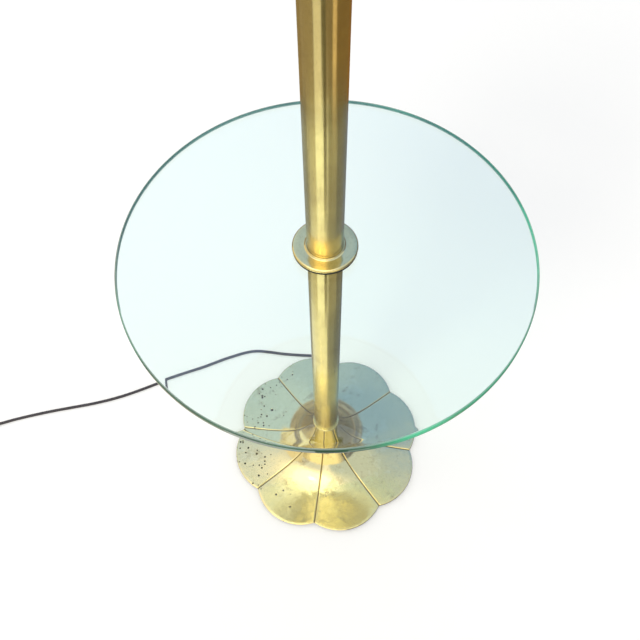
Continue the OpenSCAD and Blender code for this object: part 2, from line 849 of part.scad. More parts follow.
/* ---- cord ---- */

// The lead from the strain relief up through the pipes to the lamp holder
module inner_cord() {
    bend_z = exit_z + inner_bend_r;
    color(cord_colour) at_turn(exit_turn) {
        translate([0, 0, bend_z]) rotate([0, 0, 90])
            linear_extrude(height = core_z - bend_z) cord_section();
        translate([inner_bend_r, 0, bend_z]) rotate([90, 0, 0]) rotate([0, 0, 180])
            rotate_extrude(angle = 90) translate([inner_bend_r, 0]) rotate([0, 0, 90])
                cord_section();
        translate([inner_bend_r, 0, exit_z]) rotate([90, 0, 90])
            linear_extrude(height = exit_r - inner_bend_r) cord_section();
    }
}

module cord_bushing() {
    thin = 0.5;
    tip_w = cord_w + 2 * step;
    tip_h = exit_z + cord_t / 2 + bushing_floor;
    color(rubber) at_turn(exit_turn) difference() {
        hull() {
            translate([exit_r - bushing_l, -bushing_w / 2, 0]) cube([thin, bushing_w, bushing_h]);
            translate([exit_r - thin, -tip_w / 2, 0]) cube([thin, tip_w, tip_h]);
        }
        translate([exit_r - bushing_l - past, 0, exit_z]) rotate([90, 0, 90])
            linear_extrude(height = bushing_l + 2 * past) cord_section(run_gap);
    }
}

// Route of the free cord on the floor, chosen by eye
coil_centre = [-677, -16];
coil_pitch = cord_w + coil_gap;
layer_pitch = cord_t + coil_gap;
turns_a_layer = coil_loops / coil_layers;
// Where the route starts to rise to the coil, right of its centre
coil_rise_x = 60;
// How fast the last quarter turn leaves the coil, in pitches a turn
coil_leave = 3.2;
coil_out_r = coil_mid_r + coil_pitch * turns_a_layer / 2;
coil_z = tie_t + cord_t / 2 + 3 * run_gap;
coil_start = [coil_centre[0] + cord_w, coil_centre[1] + coil_out_r, coil_z];
route = concat(
    [ground(exit_turn, exit_r, exit_z), ground(exit_turn, exit_r + 4, exit_z)],
    [for (q = [[18, 160], [12, 167], [3, 171], [-9, 172.5], [-29, 173], [-56, 174.5],
            [-83, 177], [-110, 181], [-133, 183.5], [-150, 182], [-166, 178],
            [-182, 172.5], [-200, 166], [-220, 157.5], [-240, 149], [-265, 140],
            [-292, 130], [-320, 119], [-350, 106], [-382, 93], [-415, 82],
            [-450, 73], [-485, 66], [-520, 59], [-555, 51], [-590, 42], [-622, 32],
            [-650, 25]])
        [q[0], q[1], q[0] > coil_centre[0] + coil_rise_x ? cord_z : (cord_z + coil_z) / 2]],
    [coil_start]);

module power_cord() {
    path = smooth_path(route, 2);
    echo(free_cord_rings = len(path), free_cord_length = path_length(path));
    color(cord_colour) swept(path, oval(cord_w, cord_t, 8));
}

// Share of a climb that is done at turn u, for the climb centred at turn c
function climb(u, c) = let (t = min(1, max(0, (u - c) * 2 + 0.5))) t * t * (3 - 2 * t);

// Radius in the coil at turn u: in and out again at a steady rate
function coil_r(u) = let (n = min(coil_layers - 1, floor(u / turns_a_layer)),
        s = u - n * turns_a_layer)
    n % 2 == 0 ? coil_out_r - coil_pitch * s
        : coil_out_r - coil_pitch * (turns_a_layer - s)
            + (u > coil_loops ? coil_leave * coil_pitch * (u - coil_loops) : 0);

function coil_height(u) = coil_z + layer_pitch
    * (coil_layers < 2 ? 0 : [for (c = [1:coil_layers - 1]) climb(u, c * turns_a_layer)]
        * [for (c = [1:coil_layers - 1]) 1]);

function coil_at(u) = let (a = 90 + 360 * u, r = coil_r(u))
    [coil_centre[0] + r * cos(a), coil_centre[1] + r * sin(a), coil_height(u)];

// The coil ends a quarter turn on, at its left, with a tail down to the plug
rings_a_loop = 24;
coil_turns = coil_loops + 0.25;
plug_z = plug_t / 2 + run_gap;
coil_end = coil_at(coil_turns);
tail_end = [coil_end[0], coil_end[1] - tail_l, plug_z];
function tail_at(t) = [coil_end[0], coil_end[1] - tail_l * t,
    coil_end[2] + (plug_z - coil_end[2]) * (t < 0.1 ? 0 : t > 0.8 ? 1
        : (1 - cos(180 * (t - 0.1) / 0.7)) / 2)];
coil_path = concat([coil_start], [for (i = [0:rings_a_loop * coil_turns]) coil_at(i / rings_a_loop)],
    [for (t = [0.1:0.1:1]) tail_at(t)]);

// Gap between two turns whose centres are p and q: their six-sided sections lie
// the same way, so it is the wider of the gaps across the flats and the slopes
function turn_gap(p, q) = let (d = q - p, level = norm([d[0], d[1]]))
    max(abs(d[2]) - cord_t, (level * cord_t / 2 + abs(d[2]) * cord_w / 4 - cord_w * cord_t / 2)
        / norm([cord_t / 2, cord_w / 4]));
coil_gaps = [for (i = [0:len(coil_path) - 1], j = [i + rings_a_loop / 2:len(coil_path) - 1])
    if (norm(coil_path[i] - coil_path[j]) < 2 * cord_w) turn_gap(coil_path[i], coil_path[j])];

module cord_coil() {
    echo(coil_rings = len(coil_path), coil_length = path_length(coil_path),
        least_gap = min(coil_gaps));
    color(cord_colour) swept(coil_path, hexagon(cord_w, cord_t));
}

module cord_tie() {
    room = cord_w / 2 + tie_room;
    in_r = coil_out_r - coil_pitch * turns_a_layer - room;
    out_r = coil_out_r + room;
    in_h = coil_height(coil_turns) + cord_t / 2 + seat_gap;
    color([0.75, 0.75, 0.72]) translate([coil_centre[0], coil_centre[1], 0])
        at_turn(tie_turn) difference() {
            translate([in_r - tie_t, -tie_w / 2, 0])
                cube([out_r - in_r + 2 * tie_t, tie_w, in_h + tie_t]);
            translate([in_r, -tie_w, tie_t]) cube([out_r - in_r, 2 * tie_w, in_h - tie_t]);
        }
}

module at_plug() translate(tail_end) rotate([90, 0, 0]) children();

module blades(grow = 0, extra = 0) {
    for (x = [-blade_pitch / 2, blade_pitch / 2])
        translate([x - blade_t / 2 - grow, -blade_w / 2 - grow, plug_l - blade_root])
            cube([blade_t + 2 * grow, blade_w + 2 * grow, blade_root + extra]);
}

module plug_body() {
    corner = plug_t / 4;
    color(cord_colour) at_plug() difference() {
        hull() {
            translate([-cord_w / 2 - step, -plug_t / 4, 0])
                cube([cord_w + 2 * step, plug_t / 2, step]);
            for (x = [corner - plug_w / 2, plug_w / 2 - corner],
                y = [corner - plug_t / 2, plug_t / 2 - corner])
                translate([x, y, plug_l / 2]) cylinder(r = corner, h = plug_l / 2, $fn = 24);
        }
        blades(run_gap, past);
    }
}

module plug_blades() {
    color(brass) at_plug() blades(0, blade_l);
}

lotus_base();
base_weight();
base_felt();
base_washer();
base_nut();
foot_ring();
lower_column();
lower_collar();
lower_gasket();
glass_table();
glass_bushing();
upper_gasket();
upper_collar();
clamp_nut();
upper_column();
lower_pipe();
pipe_coupling();
upper_pipe();
column_cap();
check_ring();
harp_saddle();
harp();
harp_sleeve_left();
harp_sleeve_right();
socket_cap();
socket_shell();
socket_liner();
socket_body();
screw_shell();
centre_contact();
switch_knob();
bulb_cap();
bulb();
shade_spider();
shade_ring();
shade();
finial();
inner_cord();
cord_bushing();
power_cord();
cord_coil();
cord_tie();
plug_body();
plug_blades();
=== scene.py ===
"""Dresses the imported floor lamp: brass, glass, linen and cord round the fixed CAD frame.

Run it as a script in Blender. Sizes in this file are millimetres unless a name says otherwise,
the origin is on the floor at the column's axis, +Z is up and -Y faces the viewer.
"""

import json
from math import acos, asin, atan2, copysign, cos, degrees, exp, hypot, pi, radians, sin, sqrt, tan

import bpy
from mathutils import Matrix, Vector

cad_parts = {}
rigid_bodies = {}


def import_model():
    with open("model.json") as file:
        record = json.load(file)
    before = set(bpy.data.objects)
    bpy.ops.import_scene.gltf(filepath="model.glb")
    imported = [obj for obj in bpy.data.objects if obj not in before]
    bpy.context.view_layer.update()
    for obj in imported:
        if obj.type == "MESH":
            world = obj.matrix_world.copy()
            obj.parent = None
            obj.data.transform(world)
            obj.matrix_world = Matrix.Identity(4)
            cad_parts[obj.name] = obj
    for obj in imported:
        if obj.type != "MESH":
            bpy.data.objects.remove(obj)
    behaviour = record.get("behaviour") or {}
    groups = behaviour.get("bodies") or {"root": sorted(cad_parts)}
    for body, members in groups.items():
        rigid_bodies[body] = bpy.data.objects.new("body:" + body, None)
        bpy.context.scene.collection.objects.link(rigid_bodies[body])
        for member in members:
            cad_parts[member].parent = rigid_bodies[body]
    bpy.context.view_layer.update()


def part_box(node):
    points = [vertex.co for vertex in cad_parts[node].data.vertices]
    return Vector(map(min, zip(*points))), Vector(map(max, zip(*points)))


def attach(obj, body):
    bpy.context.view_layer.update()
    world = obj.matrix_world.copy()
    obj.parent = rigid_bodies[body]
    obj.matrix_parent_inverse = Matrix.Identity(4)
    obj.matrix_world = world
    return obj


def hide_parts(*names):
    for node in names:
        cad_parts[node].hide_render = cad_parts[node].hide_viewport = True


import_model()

bl_info = {
    "name": "Floor Lamp with Table",
    "version": (1, 0, 0),
    "blender": (4, 5, 0),
    "location": "3D View > Sidebar > Floor Lamp",
    "description": "Models and finishes a brass floor lamp with a glass table",
    "category": "Object",
}

MM = 0.001
TURN = 2 * pi


def low(node):
    """A CAD node's lowest corner, in millimetres."""
    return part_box(node)[0] / MM


def high(node):
    """A CAD node's highest corner, in millimetres."""
    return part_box(node)[1] / MM


def extent(node):
    """A CAD node's lowest and highest z and its reach along +X, in millimetres."""
    return low(node).z, high(node).z, high(node).x


# ---------------------------------------------------------------- settings


def colour_setting(name, about, *rgb):
    return bpy.props.FloatVectorProperty(
        name=name, description=about, subtype="COLOR", size=3, min=0, max=1, default=rgb)


def number_setting(name, about, value, least, most, unit="LENGTH"):
    return bpy.props.FloatProperty(
        name=name, description=about, default=value, min=least, max=most, unit=unit)


class FootSettings(bpy.types.PropertyGroup):
    """The petal-shaped foot."""

    edge: number_setting("Edge rounding", "Radius of the rim's worn edges", 0.0009, 0.0003, 0.0015)
    groove_width: number_setting("Groove width", "Width of the petals' grooves", 0.0024, 0.001, 0.004)
    groove_depth: number_setting("Groove depth", "Depth of the petals' grooves", 0.0012, 0.0004, 0.002)


class BrassSettings(bpy.types.PropertyGroup):
    """The brass of the foot, the column and the fittings."""

    tube: colour_setting("Tube", "Polished brass of the column", 0.66, 0.54, 0.24)
    cast: colour_setting("Foot", "Polished cast brass of the foot", 0.66, 0.56, 0.28)
    tarnish: colour_setting("Tarnish", "Brown film where the polish has gone", 0.24, 0.15, 0.05)
    roughness: number_setting("Roughness", "Roughness of the polished tubes", 0.2, 0.02, 0.6, "NONE")


class GlassSettings(bpy.types.PropertyGroup):
    """The round glass table."""

    tint: colour_setting("Tint", "Colour of the glass seen through its thickness", 0.86, 0.95, 0.90)
    # the edge colour is the brightest end of the light painted into the glass's edge
    edge: colour_setting("Edge", "Colour of the glass seen end-on", 0.08, 0.84, 0.46)


class CordSettings(bpy.types.PropertyGroup):
    """The flat twin lead and its plug."""

    colour: colour_setting("Jacket", "Colour of the moulded PVC", 0.045, 0.036, 0.040)
    web: number_setting("Web", "Depth of the channel between the two cores", 0.0005, 0, 0.001)


class ShadeSettings(bpy.types.PropertyGroup):
    """The linen shade."""

    linen: colour_setting("Linen", "Colour of the linen", 0.90, 0.85, 0.74)
    thread: number_setting("Thread spacing", "Distance between threads", 0.0011, 0.0003, 0.003)


class StageSettings(bpy.types.PropertyGroup):
    """Floor, lamps and camera."""

    floor: colour_setting("Floor", "Colour of the floor", 0.86, 0.86, 0.85)
    level: number_setting("Light level", "Multiplies every lamp", 1.0, 0.1, 4, "NONE")


SETTINGS = {
    "lamp_foot": FootSettings, "lamp_brass": BrassSettings, "lamp_glass": GlassSettings,
    "lamp_cord": CordSettings, "lamp_shade": ShadeSettings, "lamp_stage": StageSettings,
}

# ---------------------------------------------------------------- modelling


def start():
    """Leaves edit mode and deselects everything."""
    if bpy.context.object and bpy.context.object.mode != "OBJECT":
        bpy.ops.object.mode_set(mode="OBJECT")
    bpy.ops.object.select_all(action="DESELECT")


def alone(o):
    """Selects one object, and it alone."""
    start()
    o.select_set(True)
    bpy.context.view_layer.objects.active = o


def edit(o):
    """Opens one object, and it alone, for editing with all of it selected."""
    alone(o)
    bpy.ops.object.mode_set(mode="EDIT")
    bpy.ops.mesh.select_mode(type="VERT")
    bpy.ops.mesh.select_all(action="SELECT")


def settle(o, angle=35):
    """Merges doubles, turns faces outwards and smooths all but the sharp edges."""
    edit(o)
    bpy.ops.mesh.remove_doubles(threshold=1e-6)
    bpy.ops.mesh.delete_loose(use_verts=True, use_edges=True, use_faces=False)
    bpy.ops.mesh.select_all(action="SELECT")
    bpy.ops.mesh.normals_make_consistent(inside=False)
    bpy.ops.object.mode_set(mode="OBJECT")
    bpy.ops.object.shade_smooth_by_angle(angle=radians(angle))
    return o


def rounded(points, n=5):
    """A closed outline whose corners (r, z, radius) are rounded and (r, z) are kept."""
    out = []
    for i, p in enumerate(points):
        q = Vector(p[:2])
        if len(p) < 3:
            out.append(tuple(q))
            continue
        a = (Vector(points[i - 1][:2]) - q).normalized()
        b = (Vector(points[(i + 1) % len(points)][:2]) - q).normalized()
        half = acos(max(-1, min(1, a.dot(b)))) / 2
        centre = q + (a + b).normalized() * (p[2] / sin(half))
        u, v = q + a * (p[2] / tan(half)) - centre, q + b * (p[2] / tan(half)) - centre
        sweep = atan2(u.x * v.y - u.y * v.x, u.dot(v))
        out += [tuple(centre + Matrix.Rotation(sweep * k / n, 2) @ u) for k in range(n + 1)]
    return out


def arc(r, z, radius, a0, a1, n=8):
    """Points of an outline on a circle about (r, z), from a0 to a1 degrees."""
    return [(r + radius * cos(radians(a0 + (a1 - a0) * k / n)),
             z + radius * sin(radians(a0 + (a1 - a0) * k / n))) for k in range(n + 1)]


def band(inner, outer, z0, z1, corner):
    """The outline of a ring whose outer corners are rounded."""
    return [(inner, z0), (outer, z0, corner), (outer, z1, corner), (inner, z1)]


THREAD_PITCH, THREAD_STEP = 3.6, 0.4


def threads(r, z, deep, n):
    """A stretch of outline in n points, pressed into rounded threads."""
    return [(r - deep - deep * cos(TURN * k * THREAD_STEP / THREAD_PITCH), z + THREAD_STEP * k)
            for k in range(n)]


def turned(name, outline, steps=128, angle=35):
    """A solid spun round the column's axis from its closed outline of (r, z) points."""
    start()
    bpy.ops.mesh.primitive_circle_add(vertices=len(outline), radius=MM, fill_type="NOTHING")
    o = bpy.context.object
    o.name = o.data.name = name
    for v, (r, z) in zip(o.data.vertices, outline):
        v.co = (r * MM, 0, z * MM)
    edit(o)
    bpy.ops.mesh.spin(steps=steps, angle=TURN, center=(0, 0, 0), axis=(0, 0, 1))
    return settle(o, angle)


def grid(name, columns, rows, size=1):
    """A flat grid of faces about the origin, in metres."""
    start()
    bpy.ops.mesh.primitive_grid_add(x_subdivisions=columns, y_subdivisions=rows, size=size)
    o = bpy.context.object
    o.name = o.data.name = name
    return o


def sheeted(name, columns, rows, place, angle=35, capped=False):
    """A grid of points put where place(column, row) says, in millimetres, with its edges
    merged and, if capped, its open ends filled."""
    o = grid(name, columns - 1, rows - 1)
    for i, v in enumerate(o.data.vertices):
        v.co = Vector(place(i % columns, i // columns)) * MM
    settle(o, angle)
    if capped:
        edit(o)
        bpy.ops.mesh.fill_holes(sides=0)
        settle(o, angle)
    return o


def swept(name, path, section, side=None, angle=50):
    """A rod along path whose section keeps its first axis level, or along side."""
    rings = []
    for i, p in enumerate(path):
        along = (path[min(len(path) - 1, i + 1)] - path[max(0, i - 1)]).normalized()
        x = (Vector(side) if side else along.cross(Vector((0, 0, 1)))).normalized()
        up = along.cross(x).normalized()
        rings.append([p + x * q[0] + up * q[1] for q in section])
    n = len(section)
    return sheeted(name, n + 1, len(rings), lambda c, r: rings[r][c % n], angle, True)


def box(size, at, turn=0):
    """A block of a size about a point, turned about the column's axis by degrees."""
    start()
    bpy.ops.mesh.primitive_cube_add(size=1)
    o = bpy.context.object
    o.data.transform(Matrix.Rotation(radians(turn), 4, "Z") @ Matrix.Translation(Vector(at) * MM)
                     @ Matrix.Diagonal((*(Vector(size) * MM), 1)))
    return o


def rod(radius, length, vertices, at, turn=0):
    """A cylinder about a point, turned about the X axis by degrees."""
    start()
    bpy.ops.mesh.primitive_cylinder_add(radius=radius * MM, depth=length * MM, vertices=vertices)
    return moved(bpy.context.object, at, turn)


def moved(o, offset, turn=0):
    """Turns a mesh about the X axis by degrees and shifts it, in its own points."""
    o.data.transform(Matrix.Translation(Vector(offset) * MM) @ Matrix.Rotation(radians(turn), 4, "X"))
    return o


def joined(name, *parts):
    """One object of several."""
    start()
    for p in parts:
        p.select_set(True)
    bpy.context.view_layer.objects.active = parts[0]
    bpy.ops.object.join()
    o = bpy.context.object
    o.name = o.data.name = name
    return o


def carved(o, cutter):
    """Cuts one object out of another and clears the cutter away."""
    alone(o)
    m = o.modifiers.new("cut", "BOOLEAN")
    m.object, m.operation, m.solver = cutter, "DIFFERENCE", "EXACT"
    bpy.ops.object.modifier_apply(modifier=m.name)
    bpy.data.objects.remove(cutter)
    return settle(o, 40)


# The CAD's material slots by the short names of the materials here. The rest is polished brass.
SLOTS = {
    "glass": "clear_glass", "plated": "dark_brass", "rubber": "rubber", "felt": "felt",
    "steel": "steel", "iron": "cast_iron", "nylon": "nylon", "jacket": "cord_pvc",
    "phenolic": "phenolic", "fibre": "fibre", "tie": "tie", "opal": "frosted_glass",
    "linen": "linen", "lining": "linen",
}


def dress(o, look, *nodes, slot=None, body="root"):
    """Gives a finished piece its material and its body, and hides the nodes it stands for."""
    slot = slot or SLOTS.get(look, "polished_brass")
    o.data.materials.clear()
    o.data.materials.append(PALETTE[look])
    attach(o, body)
    if nodes:
        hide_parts(*nodes)
    return o


def lathed(name, node, look, outline, steps=96, n=5, angle=35, **more):
    """A dressed solid of revolution that stands for one node."""
    return dress(turned(name, rounded(outline, n), steps, angle), look, node, **more)


def ground(turn, r, z):
    """A point at turn degrees from the front, r from the axis."""
    return Vector((r * sin(radians(turn)), -r * cos(radians(turn)), z))


def smooth_path(points, steps):
    """A Catmull-Rom curve through points, as the CAD source draws it."""
    p = [Vector(q) for q in points]
    p = [2 * p[0] - p[1]] + p + [2 * p[-1] - p[-2]]
    out = []
    for i in range(1, len(p) - 2):
        a, b, c, d = p[i - 1:i + 3]
        for s in range(steps):
            t = s / steps
            out.append(0.5 * (2 * b + (c - a) * t + (2 * a - 5 * b + 4 * c - d) * t ** 2
                              + (3 * b - a - 3 * c + d) * t ** 3))
    return out + [p[-2]]


# ---------------------------------------------------------------- materials


def paint(hex_colour):
    """An sRGB hex value as linear red, green, blue and 1."""
    v = [int(hex_colour[i:i + 2], 16) / 255 for i in (1, 3, 5)]
    return (*((c / 12.92 if c <= 0.04045 else ((c + 0.055) / 1.055) ** 2.4) for c in v), 1)


def add(tree, kind, inputs=None, stops=None, **settings):
    """Adds one node. An input is a value or another node's output; stops are a ramp's."""
    n = tree.nodes.new(kind)
    for key, value in settings.items():
        setattr(n, key, value)
    for key, value in (inputs or {}).items():
        if isinstance(value, bpy.types.NodeSocket):
            tree.links.new(value, n.inputs[key])
        else:
            n.inputs[key].default_value = value
    if stops:
        ramp = n.color_ramp.elements
        for k, (at, colour) in enumerate(stops):
            e = ramp[k] if k < 2 else ramp.new(at)
            e.position, e.color = at, colour
    return n


def material(name):
    """An empty node material and its tree."""
    m = bpy.data.materials.new(name)
    m.use_nodes = True
    m.node_tree.nodes.clear()
    return m, m.node_tree


def output(tree, shader):
    """Ends a material in its shader."""
    return add(tree, "ShaderNodeOutputMaterial", {"Surface": shader})


def grey(v):
    return (v, v, v, 1)


def noise(tree, vector, scale, detail=3, rough=0.5):
    return add(tree, "ShaderNodeTexNoise",
               {"Vector": vector, "Scale": scale, "Detail": detail, "Roughness": rough}).outputs["Fac"]


def ramp(tree, fac, *stops):
    return add(tree, "ShaderNodeValToRGB", {"Fac": fac}, stops=stops).outputs["Color"]


def blend_colour(tree, fac, a, b):
    return add(tree, "ShaderNodeMix", {0: fac, 6: a, 7: b}, data_type="RGBA").outputs[2]


def sum_of(tree, a, b, op="ADD", clamp=False):
    return add(tree, "ShaderNodeMath", {0: a, 1: b}, operation=op, use_clamp=clamp).outputs[0]


def spun_marks(tree, place, per_metre):
    """Fine rings round the column's axis, as polishing on a lathe leaves: noise on r + z."""
    flat = add(tree, "ShaderNodeVectorMath", {0: place, 1: (1, 1, 0)}, operation="MULTIPLY").outputs[0]
    r = add(tree, "ShaderNodeVectorMath", {0: flat}, operation="LENGTH").outputs["Value"]
    z = add(tree, "ShaderNodeSeparateXYZ", {0: place}).outputs["Z"]
    return add(tree, "ShaderNodeTexNoise", {"W": sum_of(tree, r, z), "Scale": per_metre, "Detail": 2.0},
               noise_dimensions="1D").outputs["Fac"]


def brass(name, colour, tarnish, roughness, across=0.0, film=0.35, marks=0.06, coat=0.4):
    """Polished brass under old lacquer. Spun polish marks stretch its highlights along the
    column, a brown film gathers in cloudy patches, and the lacquer adds a thin sharp gloss."""
    m, t = material(name)
    place = add(t, "ShaderNodeTexCoord").outputs["Object"]
    cloud = noise(t, place, 22, 5, 0.62)  # patches of 30 to 60 mm
    speck = noise(t, place, 420, 3, 0.6)  # handling marks of 2 to 3 mm
    rings = spun_marks(t, place, 1400)  # marks 0.7 mm apart, coarser than real ones so they show
    worn = ramp(t, cloud, (0.42, grey(0)), (0.74, grey(film)))
    base = blend_colour(t, worn, (*colour, 1), (*tarnish, 1))
    base = blend_colour(t, ramp(t, speck, (0.30, grey(0.22)), (0.46, grey(0))), base, (*tarnish, 1))
    rough = sum_of(t, sum_of(t, rings, 0.10, "MULTIPLY"), sum_of(t, cloud, 0.12, "MULTIPLY"))
    rough = sum_of(t, rough, roughness - 0.11)
    bump = add(t, "ShaderNodeBump", {"Strength": marks, "Distance": 0.0002, "Height": rings})
    wave = add(t, "ShaderNodeBump", {"Strength": 0.10, "Distance": 0.002, "Height": noise(t, place, 16, 1),
                                     "Normal": bump.outputs[0]})
    inputs = {"Base Color": base, "Metallic": 1.0, "Roughness": rough, "Normal": wave.outputs[0],
              "Coat Weight": coat, "Coat Roughness": 0.06}
    if across:
        around = add(t, "ShaderNodeTangent", direction_type="RADIAL", axis="Z").outputs[0]
        inputs |= {"Anisotropic": across, "Anisotropic Rotation": 0.25, "Tangent": around}
    output(t, add(t, "ShaderNodeBsdfPrincipled", inputs).outputs[0])
    return m


def cast_brass(name, settings):
    """Cast brass, filed and polished by hand: soft waves, black pits of 1 to 3 mm that gather on the left petals,
    pale water marks with drawn edges, smudges of tarnish, darker along the grooves' middles, and a painted shadow
    round the rim's foot. The flare is smoother than the petals."""
    m, t = material(name)
    place = add(t, "ShaderNodeTexCoord").outputs["Object"]
    groove = add(t, "ShaderNodeAttribute", attribute_name="groove").outputs["Fac"]
    split = add(t, "ShaderNodeSeparateXYZ", {0: place})
    cloud = noise(t, place, 14, 6, 0.6)  # stains of 50 to 90 mm
    fine = noise(t, place, 190, 5, 0.75)
    base = blend_colour(t, ramp(t, cloud, (0.40, grey(0)), (0.72, grey(0.5))),
                        (*settings.cast, 1), paint("#C6BC88"))
    mark = ramp(t, noise(t, place, 30, 3, 0.5), (0.60, grey(0)), (0.63, grey(0.12)), (0.67, grey(0)))
    base = blend_colour(t, mark, base, paint("#F0E6BE"))
    base = blend_colour(t, ramp(t, fine, (0.56, grey(0)), (0.74, grey(0.4))), base, (*settings.tarnish, 1))
    lean = add(t, "ShaderNodeMapRange", {0: split.outputs["X"], 1: 0.06, 2: -0.15, 3: -0.18, 4: 0.26}).outputs[0]
    where = sum_of(t, noise(t, place, 17, 3, 0.7), lean)
    pits = []
    for per_metre, largest in ((80.0, 0.36), (190.0, 0.42)):
        cells = add(t, "ShaderNodeTexVoronoi", {"Vector": place, "Scale": per_metre})
        pick = add(t, "ShaderNodeSeparateXYZ", {0: cells.outputs["Color"]}).outputs["X"]
        size = add(t, "ShaderNodeMapRange", {0: sum_of(t, pick, where, "MULTIPLY"), 1: 0.38, 2: 0.74, 3: 0.0,
                                             4: largest}).outputs[0]
        deep = sum_of(t, size, cells.outputs["Distance"], "SUBTRACT")
        pits.append(add(t, "ShaderNodeMapRange", {0: deep, 1: 0.0, 2: 0.06, 3: 0.0, 4: 1.0}).outputs[0])
    pit = sum_of(t, pits[0], pits[1], "MAXIMUM")
    base = blend_colour(t, pit, base, paint("#3A3A26"))
    # painted shadow: the rim's lowest millimetres darken, standing in for the foot's shadow on the floor
    painted_rim_shadow = add(t, "ShaderNodeMapRange", {0: split.outputs["Z"], 1: 0.0030, 2: 0.0050, 3: 0.85,
                                              4: 0.0}).outputs[0]
    # darker along the grooves' middles, joined with the painted shadow round the rim's foot
    groove_dark_and_rim_shadow = sum_of(t, ramp(t, groove, (0.55, grey(0)), (0.85, grey(1))), painted_rim_shadow, "MAXIMUM")
    base = blend_colour(t, groove_dark_and_rim_shadow, base, paint("#2B2417"))
    smudge = ramp(t, noise(t, place, 34, 4, 0.65), (0.60, grey(0)), (0.72, grey(0.45)))
    base = blend_colour(t, smudge, base, (*settings.tarnish, 1))
    flat = add(t, "ShaderNodeVectorMath", {0: place, 1: (1, 1, 0)}, operation="MULTIPLY").outputs[0]
    out = add(t, "ShaderNodeVectorMath", {0: flat}, operation="LENGTH").outputs["Value"]
    worn = add(t, "ShaderNodeMapRange", {0: out, 1: 0.07, 2: 0.13, 3: -0.01, 4: 0.03}).outputs[0]
    rough = sum_of(t, sum_of(t, cloud, 0.14, "MULTIPLY"), sum_of(t, fine, 0.08, "MULTIPLY"))
    rough = sum_of(t, sum_of(t, rough, worn), sum_of(t, sum_of(t, pit, groove_dark_and_rim_shadow), 0.4, "MULTIPLY"))
    waves = add(t, "ShaderNodeBump", {"Strength": 0.3, "Distance": 0.002, "Height": noise(t, place, 26, 2)})
    waves = add(t, "ShaderNodeBump", {"Strength": 0.22, "Distance": 0.0004, "Height": noise(t, place, 230, 4, 0.7),
                                      "Normal": waves.outputs[0]})
    holes = add(t, "ShaderNodeBump", {"Strength": 0.7, "Distance": 0.0004, "Height": pit,
                                      "Normal": waves.outputs[0]},
                invert=True)
    output(t, add(t, "ShaderNodeBsdfPrincipled", {
        "Base Color": base, "Metallic": 1.0, "Roughness": rough, "Normal": holes.outputs[0],
        "Coat Weight": 0.25, "Coat Roughness": 0.16}).outputs[0])
    return m


def plain(name, colour, dark, roughness, scale, bump=0.2, depth=0.0003, metallic=0.0):
    """A material of two near colours in a noise of a real size, with bump and uneven gloss."""
    m, t = material(name)
    place = add(t, "ShaderNodeTexCoord").outputs["Object"]
    grain = noise(t, place, scale, 4, 0.6)
    rough = sum_of(t, sum_of(t, grain, 0.2, "MULTIPLY"), roughness - 0.1)
    rise = add(t, "ShaderNodeBump", {"Strength": bump, "Distance": depth, "Height": grain})
    output(t, add(t, "ShaderNodeBsdfPrincipled", {
        "Base Color": ramp(t, grain, (0.3, dark), (0.7, colour)), "Metallic": metallic, "Roughness": rough,
        "Normal": rise.outputs[0]}).outputs[0])
    return m


def float_glass(name, tint):
    """Clear soda-lime float glass: a faint green cast, and lamps shine through it."""
    m, t = material(name)
    place = add(t, "ShaderNodeTexCoord").outputs["Object"]
    haze = ramp(t, noise(t, place, 9, 5, 0.6), (0.5, grey(0)), (0.8, grey(0.02)))
    shader = add(t, "ShaderNodeBsdfPrincipled", {
        "Base Color": (*tint, 1), "Roughness": haze, "IOR": 1.52, "Transmission Weight": 1.0}).outputs[0]
    clear = add(t, "ShaderNodeBsdfTransparent", {"Color": (*tint, 1)}).outputs[0]
    shadow = add(t, "ShaderNodeLightPath").outputs["Is Shadow Ray"]
    output(t, add(t, "ShaderNodeMixShader", {0: shadow, 1: shader, 2: clear}).outputs[0])
    return m


# How far the glass's edge is painted as lit from within, by metres to the right of its middle.
PAINTED_EDGE_LIGHT = ((0.0, 0.0), (0.035, 0.15), (0.055, 0.5), (0.085, 1.0), (0.10, 0.9), (0.125, 0.5),
              (0.19, 0.35), (0.215, 0.4), (0.226, 0.75))


def glass_edge(name, colour):
    """The glass's ground and polished edge, with light painted into its colour by place: as if light that has run
    through the whole disc left here, dark teal where it comes in, greyer at the back and emerald where it gathers,
    with a painted highlight paler on the rounded arrises, told by the slope of the face."""
    m, t = material(name)
    place = add(t, "ShaderNodeTexCoord").outputs["Object"]
    at = add(t, "ShaderNodeSeparateXYZ", {0: place}).outputs
    # painted light: the edge glows more or less by its place to the right of the middle
    painted_edge_glow = ramp(t, at["X"], *((x, grey(share)) for x, share in PAINTED_EDGE_LIGHT))
    # painted light: greyer towards the back
    back = add(t, "ShaderNodeMapRange", {0: at["Y"], 1: 0.02, 2: 0.20, 3: 0.0, 4: 0.75}).outputs[0]
    tone = noise(t, place, 9, 2)
    gather = sum_of(t, painted_edge_glow, sum_of(t, tone, 0.5, "SUBTRACT"), clamp=True)
    green = blend_colour(t, gather, paint("#33604C"), (*colour, 1))
    green = blend_colour(t, back, green, paint("#6C9F92"))
    slope = add(t, "ShaderNodeSeparateXYZ", {0: add(t, "ShaderNodeNewGeometry").outputs["Normal"]}).outputs["Z"]
    # painted highlight on the rounded arrises, paler where the face tilts up
    green = blend_colour(t, ramp(t, slope, (0.55, grey(0)), (0.9, grey(0.5))), green, paint("#C4D8CF"))
    body = add(t, "ShaderNodeBsdfPrincipled", {"Base Color": green, "Roughness": 0.08, "IOR": 1.52,
                                               "Coat Weight": 0.5, "Coat Roughness": 0.03}).outputs[0]
    through = add(t, "ShaderNodeBsdfTranslucent", {"Color": green}).outputs[0]
    output(t, add(t, "ShaderNodeMixShader", {0: 0.35, 1: body, 2: through}).outputs[0])
    return m


